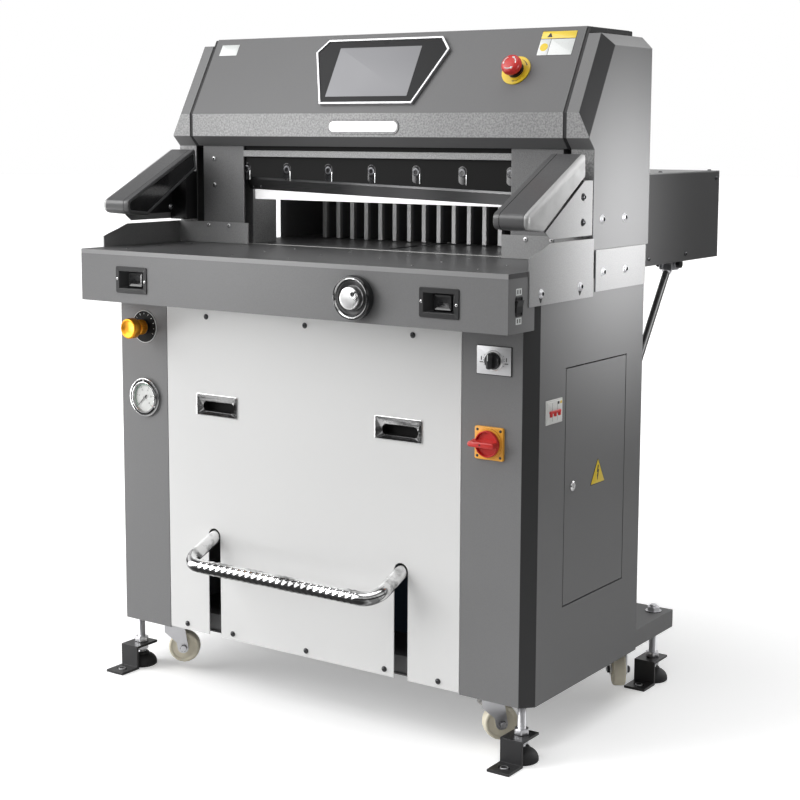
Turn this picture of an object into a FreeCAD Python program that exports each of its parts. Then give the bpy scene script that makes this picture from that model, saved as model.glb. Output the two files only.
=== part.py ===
import FreeCAD, Part
import math
import os
import re
import Sketcher

# Programmable guillotine paper cutter, 660 mm throat.
# +Z up, millimetres. The floor is Z = 0 and the front of the machine faces -Y.
# Every piece is drawn in "machine" coordinates, where Y = 0 is the front face of the
# two columns, and its Placement then moves it by front_y, so that the origin of the
# assembly is the centre of its footprint on the floor.

DIMS = {
    # overall
    "front_y": -427, "half_width": 505, "sheet_t": 3, "body_bottom": 109, "table_z": 900,
    # columns and base
    "column_inner": 357, "column_chamfer": 22.2, "column_rear": 426, "column_top": 870,
    "beam_inner": 440, "beam_outer": 501, "beam_rear": 607, "beam_top": 147,
    # table and apron
    "apron_front": -90, "apron_bottom": 796, "plate_bottom": 891, "table_rear": 958,
    "rear_table_half": 412, "gauge_slot_half": 9, "screw_z": 846, "screw_radius": 10,
    # gantry and hood
    "jamb_half": 328, "jamb_outer": 440, "gantry_front": 213, "gantry_wall": 4,
    "knife_slot_rear": 243.8, "upright_rear": 322, "gantry_top": 1225, "beam_bottom": 1130,
    "strip_bottom": 1085, "hood_half": 450, "hood_top": 1334, "hood_rear": 449,
    "hood_lip_y": 210, "hood_lip_z": 1107, "band_y": 190, "band_low": 1127, "band_high": 1174,
    "slope_run": 88, "slope_rise": 160, "cheek_inner": 457, "cheek_outer": 482.8,
    "cheek_top": 1320, "cheek_side_top": 1298, "cheek_bottom": 923, "cheek_rear": 440,
    # knife and clamp
    "bar_front": 218.5, "bar_rear": 232, "blade_rear": 242.4, "edge_mid_z": 1007.1,
    "edge_slope": 0.02763, "bar_half": 392, "bar_top": 1200, "bolt_pitch": 108,
    "bolt_z": 1059, "pivot_x": 365, "pivot_z": 1152, "pivot_radius": 15,
    "clamp_half": 322, "clamp_bottom": 995, "clamp_top": 1120, "clamp_front": 243.5,
    "clamp_rear": 318,
    # back gauge and rear cover
    "gauge_face": 465, "gauge_half": 325, "gauge_top": 985, "rib_pitch": 38.2, "rib_depth": 46,
    "cover_half": 420, "cover_rear": 970, "cover_bottom": 863, "cover_top": 1055,
    # pedal
    "pedal_left": -234.5, "pedal_right": 225.5, "pedal_tube": 13.5, "pedal_reach": 190,
    "pedal_pivot_y": 90, "pedal_pivot_z": 355, "pedal_bend": 34, "pedal_angle": 22,
    # feet and casters
    "foot_x": 472, "foot_front_y": 32, "foot_rear_y": 574, "foot_pad_radius": 32,
    "wheel_radius": 33, "wheel_half": 12.5, "wheel_z": 50, "caster_trail": 22,
    "king_pin": 6, "axle_radius": 4, "fit": 0.05,
    # electrical door
    "door_front": 119, "door_rear": 355, "door_bottom": 274, "door_top": 714,
    "door_gap": 2.5, "hinge_x": 501.5, "hinge_y": 350, "hinge_pin": 2.5,
    # controls: the centres on the columns and on the apron
    "gauge_x": -419, "gauge_z": 590, "throttle_x": -418, "throttle_z": 737.5,
    "switch_x": 417.5, "switch_z": 587, "selector_x": 424.7, "selector_z": 736.5,
    "wheel_x": 188, "hand_z": 842, "cut_x": 366, "cut_z": 842.5, "control_shaft": 6,
    "stop_x": 324.5, "stop_s": 89.8,
}

doc = FreeCAD.newDocument("paper_cutter")
sheet = doc.addObject("Spreadsheet::Sheet", "dims")
for row, (alias, value) in enumerate(DIMS.items(), start=1):
    sheet.set(f"A{row}", alias)
    sheet.set(f"B{row}", str(value))
    sheet.setAlias(f"B{row}", alias)
doc.recompute()

SLOPE_ANGLE = math.degrees(math.atan2(DIMS["slope_rise"], DIMS["slope_run"]))
nodes = []


# ---------------------------------------------------------------- drawing helpers

def linked(text):
    """Turn 'table_z + 5' into an expression that reads the sheet's cells."""
    return re.sub(r"[a-z_]+", lambda word: "dims." + word[0] if word[0] in DIMS else word[0], str(text))


def bind(obj, prop, text):
    obj.setExpression(prop, linked(text))


def bind_base(obj, x, y, z):
    for axis, text in zip("xyz", (x, y, z)):
        bind(obj, "Placement.Base." + axis, text)


def box(x0, x1, y0, y1, z0, z1):
    """A block between three pairs of expressions."""
    block = doc.addObject("Part::Box", "block")
    bind(block, "Length", f"({x1}) - ({x0})")
    bind(block, "Width", f"({y1}) - ({y0})")
    bind(block, "Height", f"({z1}) - ({z0})")
    bind_base(block, x0, y0, z0)
    return block


TURNS = {
    "X": FreeCAD.Rotation(FreeCAD.Vector(0, 1, 0), 90),
    "Y": FreeCAD.Rotation(FreeCAD.Vector(1, 0, 0), -90),
    "Z": FreeCAD.Rotation(),
}


def rod(axis, radius, start, end, first, second, cone_end=None):
    """A cylinder (or cone) along X, Y or Z from start to end; first and second are the
    other two coordinates of its axis, in X, Y, Z order."""
    piece = doc.addObject("Part::Cylinder" if cone_end is None else "Part::Cone", "rod")
    if cone_end is None:
        bind(piece, "Radius", radius)
    else:
        bind(piece, "Radius1", radius)
        bind(piece, "Radius2", cone_end)
    bind(piece, "Height", f"({end}) - ({start})")
    piece.Placement.Rotation = TURNS[axis]
    place = {"X": (start, first, second), "Y": (first, start, second), "Z": (first, second, start)}
    bind_base(piece, *place[axis])
    return piece


def draw(sketch, points, closed=True):
    """Draw a line through points and tie every corner to the sheet."""
    count = len(points)
    first = sketch.GeometryCount
    values = [[float(sheet.evalExpression(linked(c))) for c in point] for point in points]
    ends = range(count if closed else count - 1)
    for i in ends:
        start = FreeCAD.Vector(*values[i], 0)
        end = FreeCAD.Vector(*values[(i + 1) % count], 0)
        sketch.addGeometry(Part.LineSegment(start, end), False)
    for i in ends:
        if closed or i + 1 < len(ends):
            following = first + (i + 1) % len(ends)
            sketch.addConstraint(Sketcher.Constraint("Coincident", first + i, 2, following, 1))
    for i, (across, along) in enumerate(points):
        line, vertex = (first + i, 1) if i < len(ends) else (first + i - 1, 2)
        for kind, text, value in (("DistanceX", across, values[i][0]), ("DistanceY", along, values[i][1])):
            number = sketch.addConstraint(Sketcher.Constraint(kind, -1, 1, line, vertex, value))
            sketch.setExpression(f"Constraints[{number}]", linked(text))
    return sketch


def body_sketch_empty(body, role, offset):
    """A sketch on one of the body's own origin planes, moved off it by offset."""
    sketch = body.newObject("Sketcher::SketchObject", "outline")
    plane = [o for o in body.Origin.OriginFeatures if o.Role == role][0]
    sketch.AttachmentSupport = [(plane, "")]
    sketch.MapMode = "FlatFace"
    sketch.setExpression("AttachmentOffset.Base.z", linked(offset))
    return sketch


def body_sketch(body, role, points, offset):
    return draw(body_sketch_empty(body, role, offset), points)


def prism(role, points, start, end):
    """A PartDesign body: an outline on an origin plane, padded from start to end."""
    body = doc.addObject("PartDesign::Body", "prism")
    # the XZ plane's normal is -Y, so its pad runs from the far end towards the front
    offset = f"-({end})" if role == "XZ_Plane" else start
    sketch = body_sketch(body, role, points, offset)
    pad = body.newObject("PartDesign::Pad", "pad")
    pad.Profile = sketch
    bind(pad, "Length", f"({end}) - ({start})")
    return body


def folded(axis, points, start, end, thickness="sheet_t", inwards=-1):
    """Sheet metal: an open line offset by its thickness and drawn out along an axis."""
    sketch = doc.addObject("Sketcher::SketchObject", "fold_line")
    turn = {"X": FreeCAD.Rotation(FreeCAD.Vector(1, 1, 1), 120), "Z": FreeCAD.Rotation()}
    sketch.Placement.Rotation = turn[axis]
    draw(sketch, points, closed=False)
    strip = doc.addObject("Part::Offset2D", "fold")
    strip.Source = sketch
    strip.Fill = True
    strip.Join = 2
    strip.Mode = 0
    bind(strip, "Value", f"{inwards} * {thickness}")
    run = doc.addObject("Part::Extrusion", "folded")
    run.Base = strip
    run.DirMode = "Custom"
    run.Dir = FreeCAD.Vector(1, 0, 0) if axis == "X" else FreeCAD.Vector(0, 0, 1)
    run.Solid = True
    bind(run, "LengthFwd", f"({end}) - ({start})")
    bind(sketch, "Placement.Base." + axis.lower(), start)
    return run


def fuse(*parts):
    whole = doc.addObject("Part::MultiFuse", "joined")
    whole.Shapes = list(parts)
    return whole


def cut(base, *tools):
    rest = doc.addObject("Part::Cut", "cut")
    rest.Base = base
    rest.Tool = tools[0] if len(tools) == 1 else fuse(*tools)
    return rest


def mirrored(source):
    """The same piece on the other side of the machine."""
    twin = doc.addObject("Part::Mirroring", "mirrored")
    twin.Source = source
    twin.Normal = FreeCAD.Vector(1, 0, 0)
    return twin


def node(name, piece):
    """Name a finished sub-part and move it into the assembly's frame."""
    piece.Label = name
    bind(piece, "Placement.Base.y", "front_y")
    nodes.append(piece)
    return piece


def placed_node(name, piece, x, y, z, rotation):
    """Name a sub-part drawn about its own origin and put that origin at x, y, z."""
    piece.Label = name
    piece.Placement.Rotation = rotation
    bind_base(piece, x, f"front_y + ({y})", z)
    nodes.append(piece)
    return piece


# ---------------------------------------------------------------- base and columns

def base_frame():
    """Two floor beams, a drip pan with two cross members, and the pedal's bearings."""
    parts = [box("-beam_inner", "beam_inner", 24, "beam_rear", 110, 113)]
    for front, rear in ((30, 60), (560, "beam_rear")):
        parts.append(box("-beam_inner", "beam_inner", front, rear, 112, "beam_top"))
    for low, high in (("beam_inner", "beam_outer"), ("-beam_outer", "-beam_inner")):
        parts.append(box(low, high, 28, "beam_rear", 110, "beam_top"))
    for low, high in ((262, 270), (-270, -262)):
        parts.append(box(low, high, "pedal_pivot_y - 16", "pedal_pivot_y + 16", 112, "pedal_pivot_z + 16"))
    holes = [rod("X", "10 + fit", -280, 280, "pedal_pivot_y", "pedal_pivot_z")]
    for x, y in CASTERS.values():
        parts.append(box(f"{x} - 28", f"{x} + 28", f"{y} - 28", f"{y} + 28", 106, 113))
        holes.append(rod("Z", "king_pin + fit", 100, 130, x, y))
    return cut(fuse(*parts), *holes)


# swivel axes of the four casters
CASTERS = {
    "front_left": (-392, 48), "front_right": (392, 48),
    "rear_left": (-440, 474), "rear_right": (440, 474),
}


def column():
    """One column as a folded sheet: flange, inner side, front, chamfer, outer side, flange.
    Its inner side and flanges stop above the base, which passes under them."""
    shell = folded("Z", [
        ("column_inner + 22", "column_rear"), ("column_inner", "column_rear"), ("column_inner", 0),
        ("half_width - column_chamfer", 0), ("half_width", "column_chamfer"),
        ("half_width", "column_rear"), ("half_width - 35", "column_rear"),
    ], "body_bottom", "column_top")
    return cut(
        shell,
        box("column_inner - 5", 470, 4, "column_rear + 5", 100, "beam_top + 1"),
        box(460, "half_width - sheet_t - 0.5", 380, "column_rear + 5", 100, "beam_top + 1"),
    )


def right_column():
    """The right column has the electrical door's opening and hinge lugs, the breaker's
    window, and holes for the main switch and the selector."""
    lugs = [
        box(495, 502.5, 342, 357.5, "door_top + door_gap", "door_top + 9"),
        box(495, 502.5, 342, 357.5, "door_bottom - 9", "door_bottom - door_gap"),
    ]
    shell = cut(
        column(),
        box(499, 510, "door_front - door_gap", "door_rear + door_gap",
            "door_bottom - door_gap", "door_top + door_gap"),
        box(499, 510, 45, 101, 623, 663),
        rod("Y", "control_shaft + 1", -5, 10, "switch_x", "switch_z"),
        rod("Y", "control_shaft + 1", -5, 10, "selector_x", "selector_z"),
    )
    pins = rod("Z", "hinge_pin + fit", "door_bottom - 12", "door_top + 12", "hinge_x", "hinge_y")
    return cut(fuse(shell, *lugs), pins)


def left_column():
    """The left column has holes for the pressure gauge and the clamp pressure knob."""
    return cut(
        mirrored(column()),
        rod("Y", 30.5, -5, 10, "gauge_x", "gauge_z"),
        rod("Y", "control_shaft + 1", -5, 10, "throttle_x", "throttle_z"),
    )


def front_panel():
    """White sheet between the columns, with two pedal slots and two windows for the pulls."""
    panel = fuse(
        box("-column_inner + 1", "column_inner - 1", 0, 2, 112, "column_top - 4"),
        box("-column_inner + 1", "-column_inner + 3", 1, 22, 112, "column_top - 4"),
        box("column_inner - 3", "column_inner - 1", 1, 22, 112, "column_top - 4"),
    )
    tools = []
    for x in ("pedal_left", "pedal_right"):
        tools.append(box(f"{x} - 15.5", f"{x} + 15.5", -5, 10, 100, 321.5))
        tools.append(rod("Y", 15.5, -5, 10, x, 321.5))
    for x in PULLS:
        tools.append(box(f"{x} - 49", f"{x} + 49", -5, 10, 571, 610))
    return cut(panel, *tools)


PULLS = (-223.5, 219)


def panel_pulls():
    """Two recessed grips: a flange, and a cup that is open to the front."""
    cups = []
    for x in PULLS:
        shell = fuse(
            box(f"{x} - 53.5", f"{x} + 53.5", -2, 0, 568, 613),
            box(f"{x} - 48", f"{x} + 48", -1, 24, 572, 609),
        )
        cups.append(cut(shell, box(f"{x} - 46", f"{x} + 46", -5, 22, 574, 607)))
    return fuse(*cups)


def rear_panel():
    """Service panel that closes the back of the body under the rear table, with a
    doubling plate behind which the mains cable enters."""
    return fuse(
        box("-half_width + 4", "half_width - 4", "column_rear + 0.5", "column_rear + 2.5", 150, 820),
        box(-60, 60, "column_rear + 2", "column_rear + 4", 500, 600),
    )


# ---------------------------------------------------------------- table and apron

def table():
    """Flat table with the back gauge's slot, the cutting stick's groove and the two
    bearing blocks of the lead screw under it."""
    top = fuse(
        box("-half_width", "half_width", "apron_front", "-0.5", "plate_bottom", "table_z"),
        box("-half_width + 3", "half_width - 3", "-1", "column_rear", "column_top", "table_z"),
        box("-rear_table_half", "rear_table_half", "column_rear - 1", "table_rear", "column_top", "table_z"),
        box(-30, 30, 262, 280, "screw_z - 20", "column_top + 1"),
        box(-30, 30, "table_rear - 18", "table_rear", "screw_z - 20", "column_top + 1"),
    )
    return cut(
        top,
        box("-gauge_slot_half", "gauge_slot_half", 290, "table_rear - 28", 860, 910),
        box(-346, 346, 234.5, 248.5, "table_z - 10", "table_z + 1"),
        rod("Y", "screw_radius + fit", 250, "table_rear + 10", 0, "screw_z"),
    )


def apron():
    """Sheet box under the front edge of the table, open at the top and the back."""
    shell = cut(
        box("-half_width", "half_width", "apron_front", "-0.8", "apron_bottom", "plate_bottom"),
        box("-half_width + sheet_t", "half_width - sheet_t", "apron_front + sheet_t", 5,
            "apron_bottom + sheet_t", "plate_bottom + 5"),
    )
    tools = [
        rod("Y", "control_shaft + fit", -100, -80, "wheel_x", "hand_z"),
        box(495, 510, -67.5, -42.5, 831, 854),
    ]
    for side in ("-cut_x", "cut_x"):
        tools.append(box(f"{side} - 36", f"{side} + 36", -100, -80, "cut_z - 21", "cut_z + 21"))
    return cut(shell, *tools)


def cut_button_housings():
    """Two flanged cups, let into the apron, that keep the cut buttons from being struck."""
    cups = []
    for side in ("-cut_x", "cut_x"):
        shell = fuse(
            box(f"{side} - 41.5", f"{side} + 41.5", "apron_front - 2", "apron_front",
                "cut_z - 26.5", "cut_z + 26.5"),
            box(f"{side} - 35.5", f"{side} + 35.5", "apron_front - 1", "apron_front + 32",
                "cut_z - 20.5", "cut_z + 20.5"),
        )
        cups.append(cut(
            shell,
            box(f"{side} - 33", f"{side} + 33", "apron_front - 5", "apron_front + 29",
                "cut_z - 18", "cut_z + 18"),
            rod("Y", "control_shaft + fit", -70, -50, side, "cut_z"),
        ))
    return fuse(*cups)


def cut_button(side):
    """A round button on a stem that slides in the back wall of its cup."""
    return fuse(
        rod("Y", 13, "apron_front + 12", "apron_front + 22", side, "cut_z"),
        rod("Y", "control_shaft", "apron_front + 21", "apron_front + 40", side, "cut_z"),
    )


def side_plates():
    """Plates bolted over the joint of table, columns and hood: a wing beside the table,
    bent in across the front of the gantry, and a strip under each cheek."""
    wing = prism("YZ_Plane", [
        (-24, 838), ("hood_lip_y", 838), ("hood_lip_y", 945), (45, 945), (20, 936), (-4, 929), (-24, 922),
    ], "half_width", "half_width + sheet_t")
    return_plate = box(312, "half_width + sheet_t", "hood_lip_y - sheet_t", "hood_lip_y",
                       "table_z + 0.2", 945)
    strip = box("half_width", "half_width + sheet_t", "hood_lip_y + 9", "column_rear - 2",
                846, "cheek_bottom")
    right = fuse(fuse(wing, return_plate), strip)
    return fuse(right, mirrored(right))


# ---------------------------------------------------------------- gantry, hood and cheeks

def gantry():
    """Portal that carries the knife and clamp: two channel uprights, a rear beam across
    the top, and a thin strip across the front."""
    channel = prism("XY_Plane", [
        ("jamb_half", "gantry_front"), ("jamb_outer", "gantry_front"), ("jamb_outer", "upright_rear"),
        ("jamb_half", "upright_rear"), ("jamb_half", "knife_slot_rear"),
        ("jamb_outer - 7", "knife_slot_rear"), ("jamb_outer - 7", "gantry_front + gantry_wall"),
        ("jamb_half", "gantry_front + gantry_wall"),
    ], "table_z", "hood_lip_z + 10")
    post = box("jamb_half", "jamb_outer", "knife_slot_rear", "upright_rear", "hood_lip_z + 5", "gantry_top")
    beam = box("-jamb_outer", "jamb_outer", "knife_slot_rear", "upright_rear + 70",
               "beam_bottom", "gantry_top")
    strip = box("-jamb_half - 1", "jamb_half + 1", "gantry_front", "gantry_front + gantry_wall",
                "strip_bottom", 1098)
    side = fuse(channel, post)
    return fuse(side, mirrored(side), beam, strip)


HOOD_SLOPE_TOP = "band_y + (hood_top - band_high) * slope_run / slope_rise"


def hood_cover():
    """Folded cover: under-bevel, upright band, sloping control face, top and back."""
    shell = folded("X", [
        ("hood_lip_y", "hood_lip_z"), ("band_y", "band_low"), ("band_y", "band_high"),
        (HOOD_SLOPE_TOP, "hood_top"), ("hood_rear", "hood_top"), ("hood_rear", "cover_top + 3"),
    ], "-hood_half", "hood_half", inwards=1)
    hole = on_slope_rod("control_shaft + 6 + fit", -8, 8, "stop_x", "stop_s")
    return cut(shell, hole)


def on_slope(x, s, lift):
    """Expressions for a point on the control face: x across, s up the slope, lift off it."""
    length = "sqrt(slope_run^2 + slope_rise^2)"
    y = f"band_y + (({s}) * slope_run - ({lift}) * slope_rise) / {length}"
    z = f"band_high + (({s}) * slope_rise + ({lift}) * slope_run) / {length}"
    return x, y, z


def on_slope_rod(radius, low, high, x, s):
    """A cylinder square to the control face, from low to high above it."""
    piece = doc.addObject("Part::Cylinder", "slope_rod")
    bind(piece, "Radius", radius)
    bind(piece, "Height", f"({high}) - ({low})")
    piece.Placement.Rotation = FreeCAD.Rotation(FreeCAD.Vector(1, 0, 0), SLOPE_ANGLE)
    bind_base(piece, *on_slope(x, s, low))
    return piece


def cheek_outlines(wall):
    """The cheek's outline at its inner part and at its outer face, drawn in by wall."""
    front = f"hood_lip_y + {wall}"
    band = f"band_y + {wall}"
    rear = f"cheek_rear - {wall}"
    slope = "slope_run / slope_rise"
    inner = [
        (front, f"cheek_bottom + {wall}"), (front, f"hood_lip_z + 0.41 * {wall}"),
        (band, f"band_low + 0.41 * {wall}"), (band, f"band_high - 0.26 * {wall}"),
        (f"band_y + (cheek_top - band_high) * {slope} + 0.59 * {wall}", f"cheek_top - {wall}"),
        (rear, f"cheek_top - {wall}"), (rear, f"cheek_bottom + {wall}"),
    ]
    outer = list(inner)
    outer[3] = (band, f"band_low + 0.41 * {wall} + 2")
    outer[4] = (f"band_y + (cheek_side_top - band_low) * {slope} + 0.59 * {wall}", f"cheek_side_top - {wall}")
    outer[5] = (rear, f"cheek_side_top - {wall}")
    return inner, outer


def cheek_solid(wall, start, end):
    """Straight part up to cheek_outer, then a chamfered part out to the side face."""
    inner, outer = cheek_outlines(wall)
    body = doc.addObject("PartDesign::Body", "cheek")
    pad = body.newObject("PartDesign::Pad", "pad")
    pad.Profile = body_sketch(body, "YZ_Plane", inner, start)
    bind(pad, "Length", f"cheek_outer - ({start})")
    loft = body.newObject("PartDesign::AdditiveLoft", "loft")
    loft.Profile = body_sketch(body, "YZ_Plane", inner, "cheek_outer")
    loft.Sections = [body_sketch(body, "YZ_Plane", outer, end)]
    loft.Ruled = True
    return body


def cheek():
    """Hollow side cover of the hood, open towards the machine."""
    return cut(cheek_solid(0, "cheek_inner", "half_width"),
               cheek_solid("sheet_t", "cheek_inner - 5", "half_width - sheet_t"))


def side_bolts():
    """Cap bolts with washers through the side plates and cheeks."""
    bolts = []
    places = [(15, 859, "half_width + sheet_t"), (158, 861, "half_width + sheet_t"),
              (246, 881.5, "half_width + sheet_t"), (336, 881.5, "half_width + sheet_t"),
              (245, 979, "half_width"), (335, 979, "half_width")]
    for y, z, face in places:
        bolts.append(fuse(
            rod("X", 11, face, f"{face} + 1.5", y, z),
            rod("X", 8, f"{face} + 1", f"{face} + 7", y, z),
        ))
    right = fuse(*bolts)
    return fuse(right, mirrored(right))


# ---------------------------------------------------------------- control face

SCREEN = [(-113, 18), (113, 18), (163, 139), (139, 168), (-139, 168), (-163, 139)]


def screen_outline(inset):
    """The screen's six corners, moved in on all sides by inset."""
    count = len(SCREEN)
    corners = []
    for i, (x, s) in enumerate(SCREEN):
        before = FreeCAD.Vector(*SCREEN[i - 1], 0) - FreeCAD.Vector(x, s, 0)
        after = FreeCAD.Vector(*SCREEN[(i + 1) % count], 0) - FreeCAD.Vector(x, s, 0)
        before.normalize()
        after.normalize()
        half_angle = before.getAngle(after) / 2
        middle = before + after
        middle.normalize()
        reach = inset / math.sin(half_angle)
        corners.append((x + middle.x * reach, s + middle.y * reach))
    return corners


SLOPE_TURN = FreeCAD.Rotation(FreeCAD.Vector(1, 0, 0), SLOPE_ANGLE)


def screen_bezel():
    """Raised metal rim round the screen, drawn flat and then laid on the control face."""
    return cut(prism("XY_Plane", screen_outline(0), 0, 7), prism("XY_Plane", screen_outline(4.5), -1, 8))


def touch_screen():
    return prism("XY_Plane", screen_outline(4.5), 0, 5)


def estop_button():
    """Red mushroom head on a stem through the control face."""
    return fuse(
        on_slope_rod("control_shaft + 6", -7, 16, "stop_x", "stop_s"),
        on_slope_rod(17, 10, 20, "stop_x", "stop_s"),
        on_slope_rod(20, 18, 30, "stop_x", "stop_s"),
    )


# ---------------------------------------------------------------- light guards

def light_guard():
    """Housing of the light curtain beside the throat, sloping down to the front."""
    return prism("YZ_Plane", [
        (32, 965), (183, 1058), (180, 1101), (-12, 1004), (-27, 990), (-22, 975),
    ], 434, "half_width - 1")


def guard_brackets():
    """Black gusset and post that hold each light guard to the gantry."""
    gusset = prism("YZ_Plane", [(36, 964), (175, 964), (175, 1049.5)], 499, 503)
    post = box("cheek_inner", 503, 175, "hood_lip_y", 950, 1052)
    side = fuse(gusset, post)
    return fuse(side, mirrored(side))


# ---------------------------------------------------------------- knife and clamp

def edge_z(x):
    return f"edge_mid_z - edge_slope * ({x})"


def knife_bar():
    """Bar that carries the knife: its lower edge runs parallel to the cutting edge.
    A round bore on the left takes the pivot block, and a tall slot on the right clears
    the other one."""
    bar = prism("XZ_Plane", [
        ("-bar_half", edge_z("-bar_half") + " + 27"), ("bar_half", edge_z("bar_half") + " + 27"),
        ("bar_half", "bar_top"), ("-bar_half", "bar_top"),
    ], "bar_front", "bar_rear")
    tools = [
        rod("Y", "pivot_radius + fit", 210, 240, "-pivot_x", "pivot_z"),
        rod("Y", "pivot_radius + 1", 210, 240, "pivot_x", "pivot_z - 24"),
        rod("Y", "pivot_radius + 1", 210, 240, "pivot_x", "pivot_z + 5"),
        box("pivot_x - pivot_radius - 1", "pivot_x + pivot_radius + 1", 210, 240,
            "pivot_z - 24", "pivot_z + 5"),
    ]
    for step in range(-3, 4):
        tools.append(rod("Y", "5 + fit", 210, 240, f"{step} * bolt_pitch", "bolt_z"))
    return cut(bar, *tools)


def knife():
    """Blade behind the bar, ground to an edge on its front face."""
    low = "-pivot_x + 30"
    high = "bar_half + 8"
    blade = prism("XZ_Plane", [
        (low, edge_z(low)), (high, edge_z(high)),
        (high, edge_z(high) + " + 88"), (low, edge_z(low) + " + 88"),
    ], "bar_rear", "blade_rear")
    bevel = prism("YZ_Plane", [
        ("bar_rear - 2", "edge_mid_z - 4"), ("blade_rear - 0.3", "edge_mid_z - 4"),
        ("blade_rear - 0.3", "edge_mid_z"), ("bar_rear - 2", "edge_mid_z + 26"),
    ], -420, 420)
    bevel.Placement.Rotation = FreeCAD.Rotation(FreeCAD.Vector(0, 1, 0), EDGE_ANGLE)
    bind(bevel, "Placement.Base.x", f"-edge_mid_z * sin({EDGE_ANGLE})")
    bind(bevel, "Placement.Base.z", f"edge_mid_z * (1 - cos({EDGE_ANGLE}))")
    holes = [rod("Y", "5 + fit", 225, 250, f"{step} * bolt_pitch", "bolt_z") for step in range(-3, 4)]
    return cut(blade, bevel, *holes)


EDGE_ANGLE = math.degrees(math.atan(DIMS["edge_slope"]))


def knife_bolts():
    """Cap bolts through the bar into the knife."""
    bolts = []
    for step in range(-3, 4):
        x = f"{step} * bolt_pitch"
        bolts.append(fuse(
            rod("Y", 5, "bar_front - 1", "blade_rear - 1", x, "bolt_z"),
            rod("Y", 8, "bar_front - 1.2", "bar_front", x, "bolt_z"),
        ))
    return fuse(*bolts)


def knife_slide_blocks():
    """Two guide blocks joined by a thin rail; each has a pin that enters the knife bar."""
    parts = [box("-pivot_x", "pivot_x", "bar_rear + 2", "blade_rear - 1", "pivot_z - 8", "pivot_z + 8")]
    for side in ("-pivot_x", "pivot_x"):
        parts.append(box(f"{side} - 22", f"{side} + 22", "bar_rear + 0.5", "blade_rear",
                         "pivot_z - 22", "pivot_z + 22"))
        parts.append(rod("Y", "pivot_radius", "bar_front", "bar_rear + 1", side, "pivot_z"))
    return fuse(*parts)


def clamp():
    """Beam that presses the pile down, with slots behind that let in the gauge's ribs."""
    beam = box("-clamp_half", "clamp_half", "clamp_front", "clamp_rear", "clamp_bottom", "clamp_top")
    slots = []
    for step in range(-8, 9):
        x = f"{step} * rib_pitch"
        slots.append(box(f"{x} - 6.5", f"{x} + 6.5", "clamp_rear - 45", "clamp_rear + 5",
                         "clamp_bottom - 5", "clamp_top - 30"))
    return cut(beam, *slots)


# ---------------------------------------------------------------- back gauge and rear cover

def backgauge():
    """Fence with ribs on its face, and a stem through the table to its nut."""
    parts = [
        box("-gauge_half", "gauge_half", "gauge_face + rib_depth", "gauge_face + rib_depth + 24",
            "table_z + 2", "gauge_top"),
        box("-gauge_slot_half + 1", "gauge_slot_half - 1", "gauge_face + rib_depth",
            "gauge_face + rib_depth + 24", "column_top - 6", "table_z + 3"),
        box(-28, 28, "gauge_face + 30", "gauge_face + 82", "screw_z - 18", "column_top - 2"),
    ]
    for step in range(-8, 9):
        x = f"{step} * rib_pitch"
        parts.append(box(f"{x} - 5", f"{x} + 5", "gauge_face", "gauge_face + rib_depth + 1",
                         "table_z + 2", "gauge_top"))
    bore = rod("Y", "screw_radius + fit", "gauge_face + 20", "gauge_face + 95", 0, "screw_z")
    return cut(fuse(*parts), bore)


def lead_screw():
    """Screw under the table, with a drive pulley at its front end."""
    return fuse(
        rod("Y", "screw_radius", 240, "table_rear + 1", 0, "screw_z"),
        rod("Y", 22, 240, 260, 0, "screw_z"),
    )


def cutting_stick():
    """Plastic bar in the table's groove, which the knife's edge comes down on."""
    return prism("YZ_Plane", [
        (235, "table_z - 9.8"), (248, "table_z - 9.8"), (248, "table_z"), (235, "table_z"),
    ], -345.5, 345.5)


def rear_cover():
    """Side walls and back wall round the rear table."""
    return folded("Z", [
        ("-cover_half", "column_rear + 24"), ("-cover_half", "cover_rear"),
        ("cover_half", "cover_rear"), ("cover_half", "column_rear + 24"),
    ], "cover_bottom", "cover_top - sheet_t", inwards=1)


def rear_lid():
    """Flat top of the rear cover."""
    return prism("YZ_Plane", [
        ("column_rear + 24", "cover_top - sheet_t"), ("cover_rear", "cover_top - sheet_t"),
        ("cover_rear", "cover_top"), ("column_rear + 24", "cover_top"),
    ], "-cover_half", "cover_half")


def rear_struts():
    """Two telescopic props from the back of the body up to the rear table."""
    struts = []
    for side in (-330, 330):
        tube = doc.addObject("Part::Cylinder", "tube")
        inner = doc.addObject("Part::Cylinder", "inner")
        bind(tube, "Radius", 11)
        bind(tube, "Height", STRUT_LENGTH * 0.5)
        bind(inner, "Radius", 8)
        bind(inner, "Height", STRUT_LENGTH)
        for piece in (tube, inner):
            piece.Placement.Rotation = FreeCAD.Rotation(FreeCAD.Vector(1, 0, 0), -STRUT_LEAN)
            bind_base(piece, side, STRUT_FOOT[0], STRUT_FOOT[1])
        top_y = STRUT_FOOT[0] + STRUT_LENGTH * math.sin(math.radians(STRUT_LEAN))
        top_z = STRUT_FOOT[1] + STRUT_LENGTH * math.cos(math.radians(STRUT_LEAN))
        struts.append(fuse(
            tube, inner,
            box(side - 16, side + 16, "column_rear + 2.5", STRUT_FOOT[0] + 14,
                STRUT_FOOT[1] - 18, STRUT_FOOT[1] + 18),
            box(side - 16, side + 16, top_y - 22, top_y + 22, top_z - 10, "column_top"),
        ))
    return fuse(*struts)


STRUT_FOOT = (446, 186)
STRUT_TOP = (912, 846)
STRUT_LENGTH = math.dist(STRUT_FOOT, STRUT_TOP)
STRUT_LEAN = math.degrees(math.atan2(STRUT_TOP[0] - STRUT_FOOT[0], STRUT_TOP[1] - STRUT_FOOT[1]))


# ---------------------------------------------------------------- controls

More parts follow.
